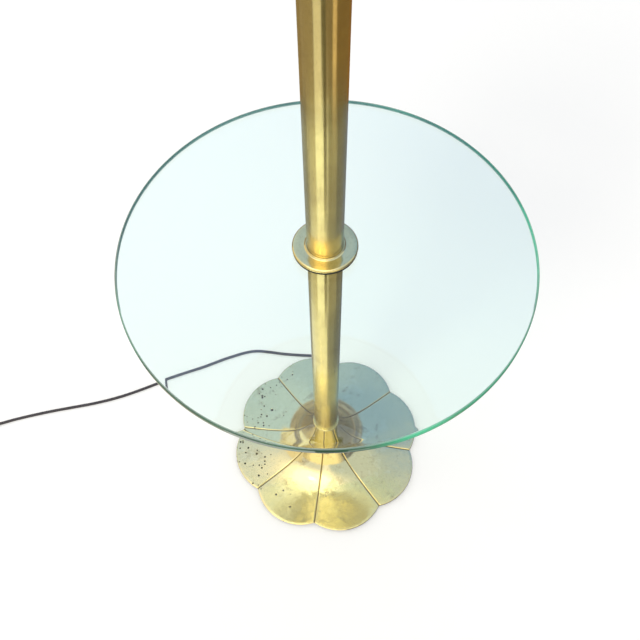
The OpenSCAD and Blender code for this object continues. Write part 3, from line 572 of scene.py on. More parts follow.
def linen(name, settings):
    """Plain-woven linen on its own UV map in metres: slubby warp and weft, matt."""
    m, t = material(name)
    uv = add(t, "ShaderNodeUVMap", uv_map="UVMap").outputs[0]
    split = add(t, "ShaderNodeSeparateXYZ", {0: uv})
    count = TURN / settings.thread / 2
    wobble = noise(t, uv, 60, 2)
    threads = []
    for axis in ("X", "Y"):
        at = sum_of(t, sum_of(t, split.outputs[axis], count, "MULTIPLY"), sum_of(t, wobble, 3.0, "MULTIPLY"))
        wave = add(t, "ShaderNodeMath", {0: at}, operation="SINE").outputs[0]
        threads.append(sum_of(t, wave, wave, "MULTIPLY"))
    weave = sum_of(t, threads[0], threads[1], "MINIMUM")
    stretch = [add(t, "ShaderNodeMapping", {"Vector": uv, "Scale": s}).outputs[0]
               for s in ((900, 22, 1), (22, 900, 1))]
    slub = sum_of(t, noise(t, stretch[0], 1, 2), noise(t, stretch[1], 1, 2), "MAXIMUM")
    tone = ramp(t, slub, (0.45, (*[c * 0.80 for c in settings.linen], 1)), (0.75, (*settings.linen, 1)))
    tone = blend_colour(t, ramp(t, weave, (0.0, grey(0.45)), (0.5, grey(0))), tone,
                        (*[c * 0.55 for c in settings.linen], 1))
    height = sum_of(t, weave, slub)
    rise = add(t, "ShaderNodeBump", {"Strength": 0.5, "Distance": 0.0003, "Height": height})
    cloth = add(t, "ShaderNodeBsdfPrincipled", {"Base Color": tone, "Roughness": 0.9, "Normal": rise.outputs[0],
                                                "Sheen Weight": 0.2}).outputs[0]
    through = add(t, "ShaderNodeBsdfTranslucent", {"Color": tone, "Normal": rise.outputs[0]}).outputs[0]
    output(t, add(t, "ShaderNodeMixShader", {0: 0.35, 1: cloth, 2: through}).outputs[0])
    return m


def make_materials(scene):
    """Every material of the lamp, by a short name."""
    b, g, c = scene.lamp_brass, scene.lamp_glass, scene.lamp_cord
    jacket = (*c.colour, 1)
    return {
        "tube": brass("drawn_brass_tube", b.tube, b.tarnish, b.roughness, across=0.75),
        "spun": brass("spun_brass", b.tube, b.tarnish, 0.13, across=0.3, marks=0.03),
        "cast": cast_brass("cast_brass", b),
        "plated": brass("brass_plated_steel", b.tube, b.tarnish, 0.24, film=0.5, coat=0.0),
        "glass": float_glass("float_glass", g.tint),
        "edge": glass_edge("polished_glass_edge", g.edge),
        "rubber": plain("black_rubber", paint("#1B1B1A"), paint("#0C0C0C"), 0.62, 900),
        "felt": plain("green_felt", paint("#2F4A38"), paint("#1A2C20"), 0.95, 700, 0.8, 0.0006),
        "steel": plain("zinc_plated_steel", paint("#B9BBBD"), paint("#8C8F92"), 0.35, 300, metallic=1.0),
        "iron": plain("cast_iron", paint("#3B3A38"), paint("#242322"), 0.75, 500, 0.6, metallic=0.6),
        "nylon": plain("white_nylon", paint("#E9E8E0"), paint("#D6D4CA"), 0.45, 300),
        "jacket": plain("pvc_jacket", jacket, (*[v * 0.6 for v in c.colour], 1), 0.48, 260, 0.12),
        "phenolic": plain("moulded_phenolic", paint("#2A1D14"), paint("#150E0A"), 0.28, 220, 0.05),
        "fibre": plain("vulcanised_fibre", paint("#6A4A30"), paint("#4D3422"), 0.8, 500),
        "contact": plain("contact_brass", paint("#B08A3C"), paint("#8A6A2A"), 0.35, 300, metallic=1.0),
        "tie": plain("hook_and_loop_tape", paint("#3A3A3C"), paint("#1E1E20"), 0.95, 1400, 0.8, 0.0005),
        "opal": plain("frosted_lamp_glass", paint("#F3F1EA"), paint("#E6E3DA"), 0.42, 120, 0.03),
        "linen": linen("woven_linen", scene.lamp_shade),
        "lining": plain("styrene_lining", paint("#EFEBE0"), paint("#E3DECF"), 0.55, 60, 0.05),
    }


PALETTE = {}

# ---------------------------------------------------------------- stage

# The camera, from a fit to the glass, the column and the foot, in radians and metres
LENS, SHIFT = 684.11 / 640 * 36, ((320 - 306.707) / 640, (317.376 - 320) / 640)
CAMERA_AT, TILT, YAW, ROLL = (0, -0.4359, 1.2165), 1.04835, -0.054956, -0.052688


class LAMP_OT_stage(bpy.types.Operator):
    """Sets the camera, the floor, the lamps and the cards that the metal mirrors"""

    bl_idname = "lamp.stage"
    bl_label = "Stage"

    def execute(self, context):
        s = context.scene.lamp_stage
        self.camera(context.scene)
        self.world(context.scene)
        self.floor(s)
        self.sky()
        self.horizon()
        for card in CARDS:
            self.card(*card)
        for k, wedge in enumerate(WEDGES):
            self.wedge(k, *wedge)
        for lamp in LAMPS:
            self.lamp(s.level, *lamp)
        context.scene.view_settings.view_transform = "Standard"
        return {"FINISHED"}

    def camera(self, scene):
        start()
        bpy.ops.object.camera_add()
        cam = bpy.context.object
        forward = Vector((sin(YAW) * cos(TILT), cos(YAW) * cos(TILT), -sin(TILT)))
        right = Vector((cos(YAW), -sin(YAW), 0))
        up = right.cross(forward)
        x = right * cos(ROLL) + up * sin(ROLL)
        y = up * cos(ROLL) - right * sin(ROLL)
        turn = Matrix((x, y, -forward)).transposed().to_4x4()
        cam.matrix_world = Matrix.Translation(CAMERA_AT) @ turn
        cam.data.sensor_width, cam.data.lens = 36, LENS
        cam.data.shift_x, cam.data.shift_y = SHIFT
        cam.data.clip_start = 0.01
        scene.camera = cam

    def seen(self, t):
        """1 for the rays that show the background, 0 for those that light the lamp."""
        path = add(t, "ShaderNodeLightPath").outputs
        rays = sum_of(t, path["Is Camera Ray"], path["Is Glossy Ray"], clamp=True)
        return sum_of(t, rays, path["Is Transmission Ray"], clamp=True)

    def world(self, scene):
        world = bpy.data.worlds.new("white_studio")
        world.use_nodes = True
        t = world.node_tree
        t.nodes.clear()
        lit = add(t, "ShaderNodeBackground", {"Color": paint("#FFFFFF"), "Strength": 0.65}).outputs[0]
        white = add(t, "ShaderNodeBackground", {"Color": paint("#FFFFFF"), "Strength": 1.0}).outputs[0]
        mix = add(t, "ShaderNodeMixShader", {0: self.seen(t), 1: lit, 2: white}).outputs[0]
        add(t, "ShaderNodeOutputWorld", {"Surface": mix})
        scene.world = world

    def floor(self, s):
        m, t = material("studio_floor")
        lit = add(t, "ShaderNodeBsdfDiffuse", {"Color": (*s.floor, 1)}).outputs[0]
        place = add(t, "ShaderNodeTexCoord").outputs["Object"]
        away = add(t, "ShaderNodeVectorMath", {0: place}, operation="LENGTH").outputs["Value"]
        even = add(t, "ShaderNodeMapRange", {0: away, 1: 0.8, 2: 4.5, 3: FLOOR_GLOW, 4: 0.46},
                   interpolation_type="SMOOTHSTEP").outputs[0]
        glow = add(t, "ShaderNodeEmission", {
            "Color": paint("#FFFFFF"), "Strength": sum_of(t, self.seen(t), even, "MULTIPLY")}).outputs[0]
        output(t, add(t, "ShaderNodeAddShader", {0: lit, 1: glow}).outputs[0])
        start()
        bpy.ops.mesh.primitive_grid_add(x_subdivisions=4, y_subdivisions=4, size=60)
        o = bpy.context.object
        o.name = "studio_floor"
        o.data.transform(Matrix.Translation((0, 0, -0.0002)))
        o.data.materials.append(m)

    def mirrored_only(self, o, name, colour, strength, tree=None):
        """Makes a stage piece that only reflections see, also through the glass."""
        m, t = tree or material(name)
        shine = add(t, "ShaderNodeEmission", {"Color": colour, "Strength": strength}).outputs[0]
        clear = add(t, "ShaderNodeBsdfTransparent").outputs[0]
        mirrored = sum_of(t, add(t, "ShaderNodeLightPath").outputs["Glossy Depth"], 0.5, "GREATER_THAN")
        output(t, add(t, "ShaderNodeMixShader", {0: mirrored, 1: clear, 2: shine}).outputs[0])
        o.data.materials.append(m)
        o.visible_camera = o.visible_diffuse = o.visible_shadow = o.visible_volume_scatter = False

    def sky(self):
        """A wide sky card overhead, bluer to the right and the back, with the sun and its haze."""
        m, t = material("sky_card")
        place = add(t, "ShaderNodeTexCoord").outputs["Object"]
        at = add(t, "ShaderNodeSeparateXYZ", {0: place}).outputs
        across = add(t, "ShaderNodeMapRange", {0: at["X"], 1: -0.7, 2: 0.8, 3: 0.0, 4: 1.0}).outputs[0]
        back = add(t, "ShaderNodeMapRange", {0: at["Y"], 1: 0.4, 2: 1.3, 3: 0.0, 4: 1.0}).outputs[0]
        front = ramp(t, across, (0.0, SKY[0]), (0.35, SKY[5]), (1.0, SKY[1]))
        behind = ramp(t, across, (0.0, SKY[2]), (1.0, SKY[3]))
        sky = blend_colour(t, back, front, behind)
        near = add(t, "ShaderNodeVectorMath", {0: place, 1: (0.06, 0.15, 3.0)},
                   operation="DISTANCE").outputs["Value"]
        near = add(t, "ShaderNodeMapRange", {0: near, 1: 0.10, 2: 0.55, 3: 1.0, 4: 0.0}).outputs[0]
        sky = blend_colour(t, near, sky, SKY[4])
        away = add(t, "ShaderNodeVectorMath", {0: place, 1: SUN_AT}, operation="DISTANCE").outputs["Value"]
        away = sum_of(t, away, 0.25, "MULTIPLY")
        haze = ramp(t, away, *[(d / 4, grey(v)) for d, v in HAZE])
        glare = add(t, "ShaderNodeVectorMath", {0: haze, "Scale": SUN}, operation="SCALE").outputs[0]
        glare = add(t, "ShaderNodeVectorMath", {0: glare, 1: SUN_TINT}, operation="MULTIPLY").outputs[0]
        colour = add(t, "ShaderNodeVectorMath", {0: sky, 1: glare}).outputs[0]
        start()
        bpy.ops.mesh.primitive_grid_add(x_subdivisions=2, y_subdivisions=2, size=12)
        o = bpy.context.object
        o.name = "sky_card"
        o.data.transform(Matrix.Translation((0, 1, SUN_AT[2])))
        self.mirrored_only(o, "sky_card", colour, 1.0, (m, t))

    def horizon(self):
        """A dark wall round the stage, browner to the left and sunlit at the front, up to the
        edge of the sky card, in level layers that the flare mirrors as rings."""
        m, t = material("horizon_card")
        place = add(t, "ShaderNodeTexCoord").outputs["Object"]
        at = add(t, "ShaderNodeSeparateXYZ", {0: place}).outputs
        across = add(t, "ShaderNodeMapRange", {0: at["X"], 1: -4.0, 2: 4.0, 3: 0.0, 4: 1.0}).outputs[0]
        wall = ramp(t, across, (0.0, HORIZON[0]), (1.0, HORIZON[1]))
        stretch = add(t, "ShaderNodeVectorMath", {0: place, 1: (0.2, 0.2, 1.3)}, operation="MULTIPLY").outputs[0]
        layer = ramp(t, noise(t, stretch, 1, 4, 0.6), (0.38, grey(0.45)), (0.62, grey(1.7)))
        wall = add(t, "ShaderNodeVectorMath", {0: wall, 1: layer}, operation="MULTIPLY").outputs[0]
        sunny = add(t, "ShaderNodeVectorMath", {0: place, 1: (-0.6, -4.9, 1.5)},
                    operation="DISTANCE").outputs["Value"]
        sunny = add(t, "ShaderNodeMapRange", {0: sunny, 1: 3.2, 2: 5.0, 3: 1.0, 4: 0.0}).outputs[0]
        colour = blend_colour(t, sunny, wall, HORIZON[2])
        start()
        bpy.ops.mesh.primitive_grid_add(x_subdivisions=64, y_subdivisions=1, size=1)
        o = bpy.context.object
        o.name = "horizon_card"
        for v in o.data.vertices:
            v.co = ground(360 * (v.co.x + 0.5), 5.9, (v.co.y + 0.5) * SUN_AT[2]) + Vector((0, 0.9, 0))
        self.mirrored_only(o, "horizon_card", colour, 1.0, (m, t))

    def card(self, name, colour, strength, at, size, aim):
        start()
        bpy.ops.mesh.primitive_grid_add(x_subdivisions=2, y_subdivisions=2, size=1)
        o = bpy.context.object
        o.name = name
        way = (Vector(aim) - Vector(at)).normalized().to_track_quat("Z", "Y").to_matrix().to_4x4()
        o.data.transform(Matrix.Translation(at) @ way @ Matrix.Diagonal((*size, 1, 1)))
        self.mirrored_only(o, name, paint(colour), strength)

    def wedge(self, k, turn0, turn1, near, far, colour, strength):
        """A sector of ground that the upright tubes mirror as a stripe: degrees and metres."""
        name = f"ground_card_{k}"
        start()
        bpy.ops.mesh.primitive_grid_add(x_subdivisions=12, y_subdivisions=1, size=1)
        o = bpy.context.object
        o.name = name
        for v in o.data.vertices:
            turn = turn0 + (turn1 - turn0) * (v.co.x + 0.5)
            v.co = ground(turn, near + (far - near) * (v.co.y + 0.5), 0.00002 * (k + 1))
        self.mirrored_only(o, name, paint(colour), strength)

    def lamp(self, level, name, colour, watts, at, size, aim):
        start()
        bpy.ops.object.light_add(type="AREA", location=at)
        o = bpy.context.object
        o.name = o.data.name = name
        o.rotation_euler = (Vector(at) - Vector(aim)).to_track_quat("Z", "Y").to_euler()
        o.data.shape, o.data.size, o.data.size_y = "RECTANGLE", *size
        o.data.energy, o.data.color = watts * level, paint(colour)[:3]
        o.visible_camera = o.visible_transmission = o.visible_glossy = False


# Light that the floor adds for the camera, so that it reads white and keeps its shadows
FLOOR_GLOW = 0.18
# Linear colours of the sky card: front left and right, back left and right, overhead, front middle
SKY = ((1.12, 1.20, 1.40, 1), (0.86, 1.02, 1.28, 1), (0.76, 1.05, 1.66, 1), (0.38, 0.66, 1.36, 1),
       (2.05, 1.72, 0.98, 1), (1.75, 1.72, 1.75, 1))
# Linear colours of the horizon: left, right and the sunlit front
HORIZON = ((0.50, 0.44, 0.34, 1), (0.28, 0.32, 0.44, 1), (1.7, 1.55, 1.10, 1))
# The sun on the sky card: place in metres, strength and tint
SUN_AT, SUN, SUN_TINT = (-0.77, -1.09, 3.0), 12.0, (1.0, 0.88, 0.50)
# The sun's glow: distance in metres and share of its strength
HAZE = ((0.0, 1.0), (0.08, 1.0), (0.12, 0.18), (0.85, 0.19), (1.1, 0.07), (1.5, 0.03), (2.1, 0.0))
# Cards in the mirror image only: name, colour, strength, place, size, where it faces. Metres.
CARDS = [
    ("left_card", "#FFF6E0", 1.25, (-2.2, 0.1, 1.3), (2.6, 1.6), (0, 0, 0)),
]
# Sectors of ground in the mirror image: turns in degrees from the front towards +X, from and
# to radius in metres, colour, strength. Later ones lie higher.
WEDGES = [
    (-180, 180, 0.0, 4.0, "#B9B2A2", 0.75),
    (-180, -120, 0.84, 1.9, "#A99468", 0.90),
    (-120, -50, 0.84, 1.9, "#C7B795", 0.80),
    (-46, -12, 0.84, 1.9, "#FFFBE8", 1.05),
    (-12, 7, 0.84, 1.9, "#7F795F", 0.80),
    (7, 37, 0.84, 1.9, "#A2906E", 0.85),
    (37, 55, 0.88, 1.9, "#FFE3B0", 1.10),
    (55, 130, 0.84, 1.9, "#8C7448", 1.15),
    (130, 180, 0.84, 1.9, "#A0763C", 0.85),
    (-180, -100, 0.40, 0.84, "#BBB49C", 0.85),
    (-100, -48, 0.40, 0.84, "#D2CAB0", 1.40),
    (-48, -5, 0.40, 0.84, "#FFFDF0", 1.85),
    (-5, 10, 0.40, 0.84, "#96907A", 0.85),
    (10, 20, 0.40, 0.84, "#FAF5E4", 1.10),
    (20, 70, 0.40, 0.84, "#C6BCA2", 0.98),
    (70, 180, 0.40, 0.84, "#96918A", 0.85),
    (-180, -110, 0.0, 0.40, "#BAB8AE", 0.85),
    (-110, 12, 0.0, 0.40, "#FFFBEA", 1.40),
    (12, 60, 0.0, 0.40, "#A6A7A4", 0.85),
    (60, 180, 0.0, 0.40, "#8B8E92", 0.85),
]
# Lamps: name, colour, watts, place, size, where it points. Metres.
LAMPS = [
    ("key_softbox", "#FFF6E6", 30, (-0.95, -1.35, 3.6), (0.7, 0.7), (0, 0, 0)),
    ("fill_softbox", "#F4F8FF", 10, (2.6, -1.2, 2.2), (2.0, 2.0), (0, 0, 0.5)),
    ("top_softbox", "#EEF5FF", 22, (0.2, 0.9, 3.4), (3.0, 3.0), (0, 0, 0)),
    ("side_softbox", "#FFFFFF", 12, (-2.4, 0.6, 1.5), (1.2, 1.6), (0, 0, 0.6)),
]

# ---------------------------------------------------------------- cord

# The cord's route on the floor, repeated from the CAD source
CORD_W, CORD_T = 5.6, 3.0
EXIT_TURN, EXIT_R, EXIT_Z = 172.1, 146.0, 2.4
CORD_Z, COIL_Z = 1.55, 2.45
COIL_AT, COIL_LOOPS, COIL_LAYERS, COIL_MID_R = (-677, -16), 8, 4, 33
COIL_PITCH, LAYER_PITCH, COIL_LEAVE = 6.3, 3.7, 3.2
TURNS_A_LAYER = COIL_LOOPS / COIL_LAYERS
COIL_OUT_R = COIL_MID_R + COIL_PITCH * TURNS_A_LAYER / 2
COIL_RISE_X = 60
RINGS_A_TURN = 48
TAIL_L, PLUG_Z = 31, 7.05
ROUTE = [
    (18, 160), (12, 167), (3, 171), (-9, 172.5), (-29, 173), (-56, 174.5), (-83, 177), (-110, 181),
    (-133, 183.5), (-150, 182), (-166, 178), (-182, 172.5), (-200, 166), (-220, 157.5), (-240, 149),
    (-265, 140), (-292, 130), (-320, 119), (-350, 106), (-382, 93), (-415, 82), (-450, 73), (-485, 66),
    (-520, 59), (-555, 51), (-590, 42), (-622, 32), (-650, 25)]


def ease(t):
    """A share from 0 to 1 with level ends."""
    t = max(0, min(1, t))
    return t * t * (3 - 2 * t)


def coil_at(u):
    """The coil's centreline at turn u: in and out again, and up a layer at each reversal."""
    n = min(COIL_LAYERS - 1, int(u / TURNS_A_LAYER))
    s = u - n * TURNS_A_LAYER
    r = COIL_OUT_R - COIL_PITCH * (s if n % 2 == 0 else TURNS_A_LAYER - s)
    r += COIL_LEAVE * COIL_PITCH * max(0, u - COIL_LOOPS)
    z = COIL_Z + LAYER_PITCH * sum(ease((u - c * TURNS_A_LAYER) * 2 + 0.5) for c in range(1, COIL_LAYERS))
    a = radians(90 + 360 * u)
    return Vector((COIL_AT[0] + r * cos(a), COIL_AT[1] + r * sin(a), z))


def cord_route():
    """The lead's centreline from the strain relief through the coil to its plug."""
    free = [ground(EXIT_TURN, EXIT_R, EXIT_Z), ground(EXIT_TURN, EXIT_R + 4, EXIT_Z)]
    free += [Vector((x, y, CORD_Z if x > COIL_AT[0] + COIL_RISE_X else (CORD_Z + COIL_Z) / 2))
             for x, y in ROUTE]
    free.append(Vector((COIL_AT[0] + CORD_W, COIL_AT[1] + COIL_OUT_R, COIL_Z)))
    turns = COIL_LOOPS + 0.25
    coil = [coil_at(k / RINGS_A_TURN) for k in range(1, int(turns * RINGS_A_TURN) + 1)]
    end = coil_at(turns)
    tail = []
    for k in range(1, 11):
        rise = 1 if k > 8 else (1 - cos(pi * (k / 10 - 0.1) / 0.7)) / 2
        tail.append(end + Vector((0, -TAIL_L * k / 10, (PLUG_Z - end.z) * rise)))
    return smooth_path(free, 4) + coil + tail


def cord_section(web):
    """Two round cores side by side with a shallow channel between them."""
    half, r = (CORD_W - CORD_T) / 2, CORD_T / 2
    side = arc(half, 0, r, -90, 90, 10)
    side += [(half * 0.35, r - web * 0.5), (0, r - web), (-half * 0.35, r - web * 0.5)]
    return side + [(-x, -y) for x, y in side]


class LAMP_OT_cord(bpy.types.Operator):
    """Lays the flat lead, its coil, tie, plug and strain relief"""

    bl_idname = "lamp.cord"
    bl_label = "Cord and plug"

    def execute(self, context):
        section = cord_section(context.scene.lamp_cord.web / MM)
        path = cord_route()
        lead = dress(swept("lead", path, section, angle=60), "jacket", "power_cord", "cord_coil")
        pieces = [self.plug(path[-1]), self.blades(path[-1]), self.tie(), self.relief()]
        self.inner(section)
        return {"FINISHED"}

    def inner(self, section):
        """The lead inside the pipes and under the foot."""
        bend, top = 13, low("socket_body").z
        out = ground(EXIT_TURN, 1, 0)
        path = [Vector((0, 0, top + (EXIT_Z + bend - top) * k / 24)) for k in range(25)]
        path += [Vector((0, 0, EXIT_Z)) + out * (bend + x) + Vector((0, 0, bend + z))
                 for x, z in arc(0, 0, bend, 180, 270, 12)[1:]]
        path += [Vector((0, 0, EXIT_Z)) + out * (bend + (EXIT_R - bend) * k / 8) for k in range(1, 9)]
        side = out.cross(Vector((0, 0, 1)))
        dress(swept("lead_in_column", path, section, side, 60), "jacket", "inner_cord")

    def relief(self):
        """A tapered strain relief with five ribs, in the foot's slot."""
        long, wide, tall, corner = 34, 9, 5, 1.2
        tip_w, tip_h = CORD_W + 2, EXIT_Z + CORD_T / 2 + 0.9
        ribs, rib_depth, last = 5, 0.35, 60
        out, side = ground(EXIT_TURN, 1, 0), ground(EXIT_TURN + 90, 1, 0)

        def place(c, r):
            s = r / last
            w, h = wide + (tip_w - wide) * s, tall + (tip_h - tall) * s
            sunk = rib_depth * (0.5 - 0.5 * cos(TURN * ribs * s) if 0 < r < last else 1)
            x, z = rounded([(-w / 2 + sunk, 0, corner), (w / 2 - sunk, 0, corner),
                            (w / 2 - sunk, h - sunk, corner), (-w / 2 + sunk, h - sunk, corner)], 4)[c % 20]
            return out * (EXIT_R - long + long * s) + side * x + Vector((0, 0, z))

        return dress(sheeted("strain_relief", 21, last + 1, place, 50, True), "rubber", "cord_bushing")

    def plug(self, at):
        """A moulded flat plug: a rounded body with finger ribs, drawn in to the cord."""
        rings = [(0, 3.8, 2.6), (2, 4.4, 3.1), (6, 6.4, 4.2), (9, 8.6, 5.4), (12, 10.6, 6.4),
                 (15, 11.8, 6.95)]
        for y in (17, 20.6, 24.2):
            rings += [(y, 12, 7), (y + 0.6, 11.6, 6.6), (y + 1.6, 11.6, 6.6), (y + 2.2, 12, 7)]
        rings += [(29.2, 12, 7), (29.8, 11.7, 6.7), (30, 11, 6)]

        def place(c, r):
            y, w, h = rings[r]
            power = 0.62 if y > 8 else 0.85
            x, z = (size * copysign(abs(v) ** power, v)
                    for size, v in ((w, cos(TURN * c / 48)), (h, sin(TURN * c / 48))))
            return at + Vector((x, -y, z))

        return dress(sheeted("plug", 49, len(rings), place, 40, True), "jacket", "plug_body")

    def blades(self, at):
        """Two flat blades with rounded noses."""
        thick, wide, tip, root = 1.5, 6.3, 46, 24
        made = []
        for x in (-6.35, 6.35):
            o = box((thick, tip - root, wide), at + Vector((x, -(tip + root) / 2, 0)))
            edit(o)
            bpy.ops.mesh.select_all(action="DESELECT")
            bpy.ops.object.mode_set(mode="OBJECT")
            nose = min(v.co.y for v in o.data.vertices)
            for e in o.data.edges:
                ends = [o.data.vertices[i].co for i in e.vertices]
                e.select = all(abs(p.y - nose) < 1e-6 for p in ends) and abs(ends[0].z - ends[1].z) < 1e-6
            bpy.ops.object.mode_set(mode="EDIT")
            bpy.ops.mesh.select_mode(type="EDGE")
            bpy.ops.mesh.bevel(offset=1.6 * MM, segments=5)
            bpy.ops.object.mode_set(mode="OBJECT")
            bpy.ops.object.shade_smooth_by_angle(angle=radians(30))
            made.append(o)
        return dress(joined("plug_pins", *made), "contact", "plug_blades", slot="dark_brass")

    def tie(self):
        """A band of hook-and-loop tape round the coil."""
        z0, z1, _ = extent("cord_tie")
        wide, thick, room = 9, 0.8, CORD_W / 2 + 0.8
        along, across = Vector((cos(pi / 3), -sin(pi / 3), 0)), Vector((sin(pi / 3), cos(pi / 3), 0))
        r0, r1 = COIL_OUT_R - COIL_PITCH * TURNS_A_LAYER - room - thick, COIL_OUT_R + room + thick
        outside = [Vector(p) for p in rounded([(r0, z0, 3), (r1, z0, 3), (r1, z1, 3.5), (r0, z1, 3.5)], 8)]
        n = len(outside)
        corners = [(-wide / 2, 0), (wide / 2, 0), (wide / 2, thick), (-wide / 2, thick)]

        def place(c, r):
            u, deep = corners[c % 4]
            on = (outside[(r + 1) % n] - outside[(r - 1) % n]).normalized()
            p = outside[r % n] + Vector((-on.y, on.x)) * deep
            return Vector((*COIL_AT, 0)) + along * p.x + across * u + Vector((0, 0, p.y))

        return dress(sheeted("coil_tie", 5, n + 1, place, 40), "tie", "cord_tie")


# ---------------------------------------------------------------- foot

PETALS, TIP_R, NOTCH_R, FOOT_TURN = 8, 168, 153.5, -7.9
NECK_R, FLARE_SPREAD, FLARE_POWER = 21.4, 24.7, 0.85
FOOT_WALL, CAVITY_R, FACE_R = 2.5, 141.5, 124
SLOT_W, SLOT_H, SLOT_END_R = 9.6, 5.05, 190
SECTOR = 360 / PETALS
NOTCH_X, NOTCH_Y = NOTCH_R * cos(radians(SECTOR / 2)), NOTCH_R * sin(radians(SECTOR / 2))
PETAL_R = (NOTCH_Y ** 2 + (TIP_R - NOTCH_X) ** 2) / (2 * (TIP_R - NOTCH_X))
PETAL_AT = TIP_R - PETAL_R
# The pipe's bore, and the spigots inside the column
PIPE_WAY_R, PLUG_R, PLUG_L = 5.1, 18.7, 9


def petal_edge(angle, inset=0):
    """Radius of the foot's outline at an angle in degrees from the nearest petal's middle."""
    a = radians(angle)
    return PETAL_AT * cos(a) + sqrt((PETAL_R - inset) ** 2 - (PETAL_AT * sin(a)) ** 2)


class LAMP_OT_foot(bpy.types.Operator):
    """Models the petal-shaped foot, its bead ring, sole and ballast"""

    bl_idname = "lamp.foot"
    bl_label = "Foot"

    def execute(self, context):
        s = context.scene.lamp_foot
        self.rim, self.top, _ = extent("lotus_base")
        base = self.shell(s.edge / MM, s.groove_width / MM, s.groove_depth / MM)
        self.slotted(base, CAVITY_R - 1, SLOT_H)
        self.groove_dark_and_rim_shadow(base, s.groove_width / MM)
        dress(base, "cast", "lotus_base")
        self.ring()
        dress(self.slotted(self.sole(5), -5, 9), "felt", "base_felt")
        self.ballast()
        return {"FINISHED"}

    def flare(self, r):
        """Height and slope of the foot's upper face at radius r."""
        lip = self.rim + 4
        u = max(r - NECK_R, 1e-4) / FLARE_SPREAD
        rise = (self.top - lip) * exp(-u ** FLARE_POWER)
        return lip + rise, -rise * FLARE_POWER * u ** (FLARE_POWER - 1) / FLARE_SPREAD

    def column(self, c, r, aside, shares):
        """The nearest groove's number at a column of points, and the angle from it in degrees."""
        half = len(aside) + len(shares) - 1
        k, i = divmod(c, 2 * half)
        near = min(i, 2 * half - i)
        a = degrees(asin(aside[min(near, len(aside) - 1)] / r))
        if near >= len(aside):
            a += (SECTOR / 2 - a) * shares[near - len(aside)]
        return (k, a) if i <= half else (k + 1, -a)

    def shell(self, edge, width, depth):
        """The cast foot: a bell that spreads into eight petals with grooves between them."""
        aside = [width * v for v in (0, 0.18, 0.34, 0.46, 0.58, 0.75, 1.1)]
        dip = [depth * v for v in (1, 0.93, 0.66, 0.36, 0.12, 0.02, 0)]
        shares = [0.14, 0.30, 0.48, 0.66, 0.83, 1.0]
        half = len(aside) + len(shares) - 1
        count = PETALS * 2 * half
        bend = [radians(90 * k / 4) for k in range(5)]
        # Rings of points: a radius on the face, a share of the way to the edge, in from the
        # edge and down or up, and radii under the rim and in the cavity
        rows = [("face", NECK_R + (FACE_R - NECK_R) * (k / 36) ** 2, 0) for k in range(37)]
        rows += [("petal", FACE_R, k / 9) for k in range(1, 9)]
        rows += [("over", edge * (1 - sin(a)), edge * (1 - cos(a))) for a in bend]
        rows += [("under", edge * 0.7 * (1 - cos(a)), edge * 0.7 * (1 - sin(a))) for a in bend]
        rows += [("rim", CAVITY_R, 0)]
        rows += [("cavity", NECK_R - FOOT_WALL + (CAVITY_R - NECK_R + FOOT_WALL) * (1 - k / 14) ** 2, 0)
                 for k in range(15)]

        def place(c, r):
            kind, a, b = rows[r % len(rows)]
            edge_r = 140
            for _ in range(4):
                k, turn = self.column(c % count, edge_r, aside, shares)
                edge_r = petal_edge(SECTOR / 2 - abs(turn))
            radius = a
            if kind == "petal":
                radius = a + (edge_r - edge - a) * b
            elif kind in ("over", "under"):
                radius = edge_r - a
            k, turn = self.column(c % count, radius, aside, shares)
            z, slope = self.flare(radius)
            if kind in ("face", "petal", "over"):
                n = min(c % (2 * half), -c % (2 * half))
                sink = (dip[n] if n < len(dip) else 0) / hypot(1, slope)
                radius, z = radius + sink * slope, z - sink - (b if kind == "over" else 0)
            elif kind == "cavity":
                z = self.flare(radius + FOOT_WALL)[0] - FOOT_WALL
            else:
                z = self.rim + b
            return ground(FOOT_TURN + k * SECTOR + turn, radius, z)

        return sheeted("foot", count + 1, len(rows) + 1, place, 40)

    def sole(self, inset):
        """A flat sheet cut to the petals' outline less an inset."""
        z0, z1 = low("base_felt").z, self.rim
        rows = [(0, z0), (0.5, z0), (1, z0), (1, (z0 + z1) / 2), (1, z1), (0.5, z1), (0, z1)]
        count = PETALS * 12

        def place(c, r):
            share, z = rows[r]
            turn = 360 * (c % count) / count
            return ground(FOOT_TURN + turn, petal_edge(turn % SECTOR - SECTOR / 2, inset) * share, z)

        return sheeted("felt_sole", count + 1, len(rows), place, 40)

    def slotted(self, o, r0, height):
        """Cuts the cord's way through a piece from radius r0 out."""
        return carved(o, box((SLOT_END_R - r0, SLOT_W, height + 2),
                             ((r0 + SLOT_END_R) / 2, 0, height / 2 - 1), EXIT_TURN - 90))

    def groove_dark_and_rim_shadow(self, o, width):
        """Marks the grooves' points, for the material's darker grooves."""
        mark = o.data.attributes.new("groove", "FLOAT", "POINT")
        for v in o.data.vertices:
            p = v.co / MM
            off = (degrees(atan2(p.x, -p.y)) - FOOT_TURN + SECTOR / 2) % SECTOR - SECTOR / 2
            away = abs(hypot(p.x, p.y) * sin(radians(off)))
            mark.data[v.index].value = max(0, 1 - away / (width * 0.62)) if p.z > self.rim + 3 else 0

    def ring(self):
        z0, z1 = self.top, low("lower_column").z
        lathed("foot_bead_ring", "foot_ring", "spun", [
            (PIPE_WAY_R, z0), (NECK_R, z0, 0.3), (NECK_R + 0.5, z0 + 0.5, 0.3),
            (NECK_R + 1.2, (z0 + z1) / 2, 1.6), (NECK_R + 0.5, z1 - 0.5, 0.3), (NECK_R - 0.2, z1, 0.3),
            (PLUG_R, z1), (PLUG_R, z1 + PLUG_L), (PIPE_WAY_R, z1 + PLUG_L)], 160)

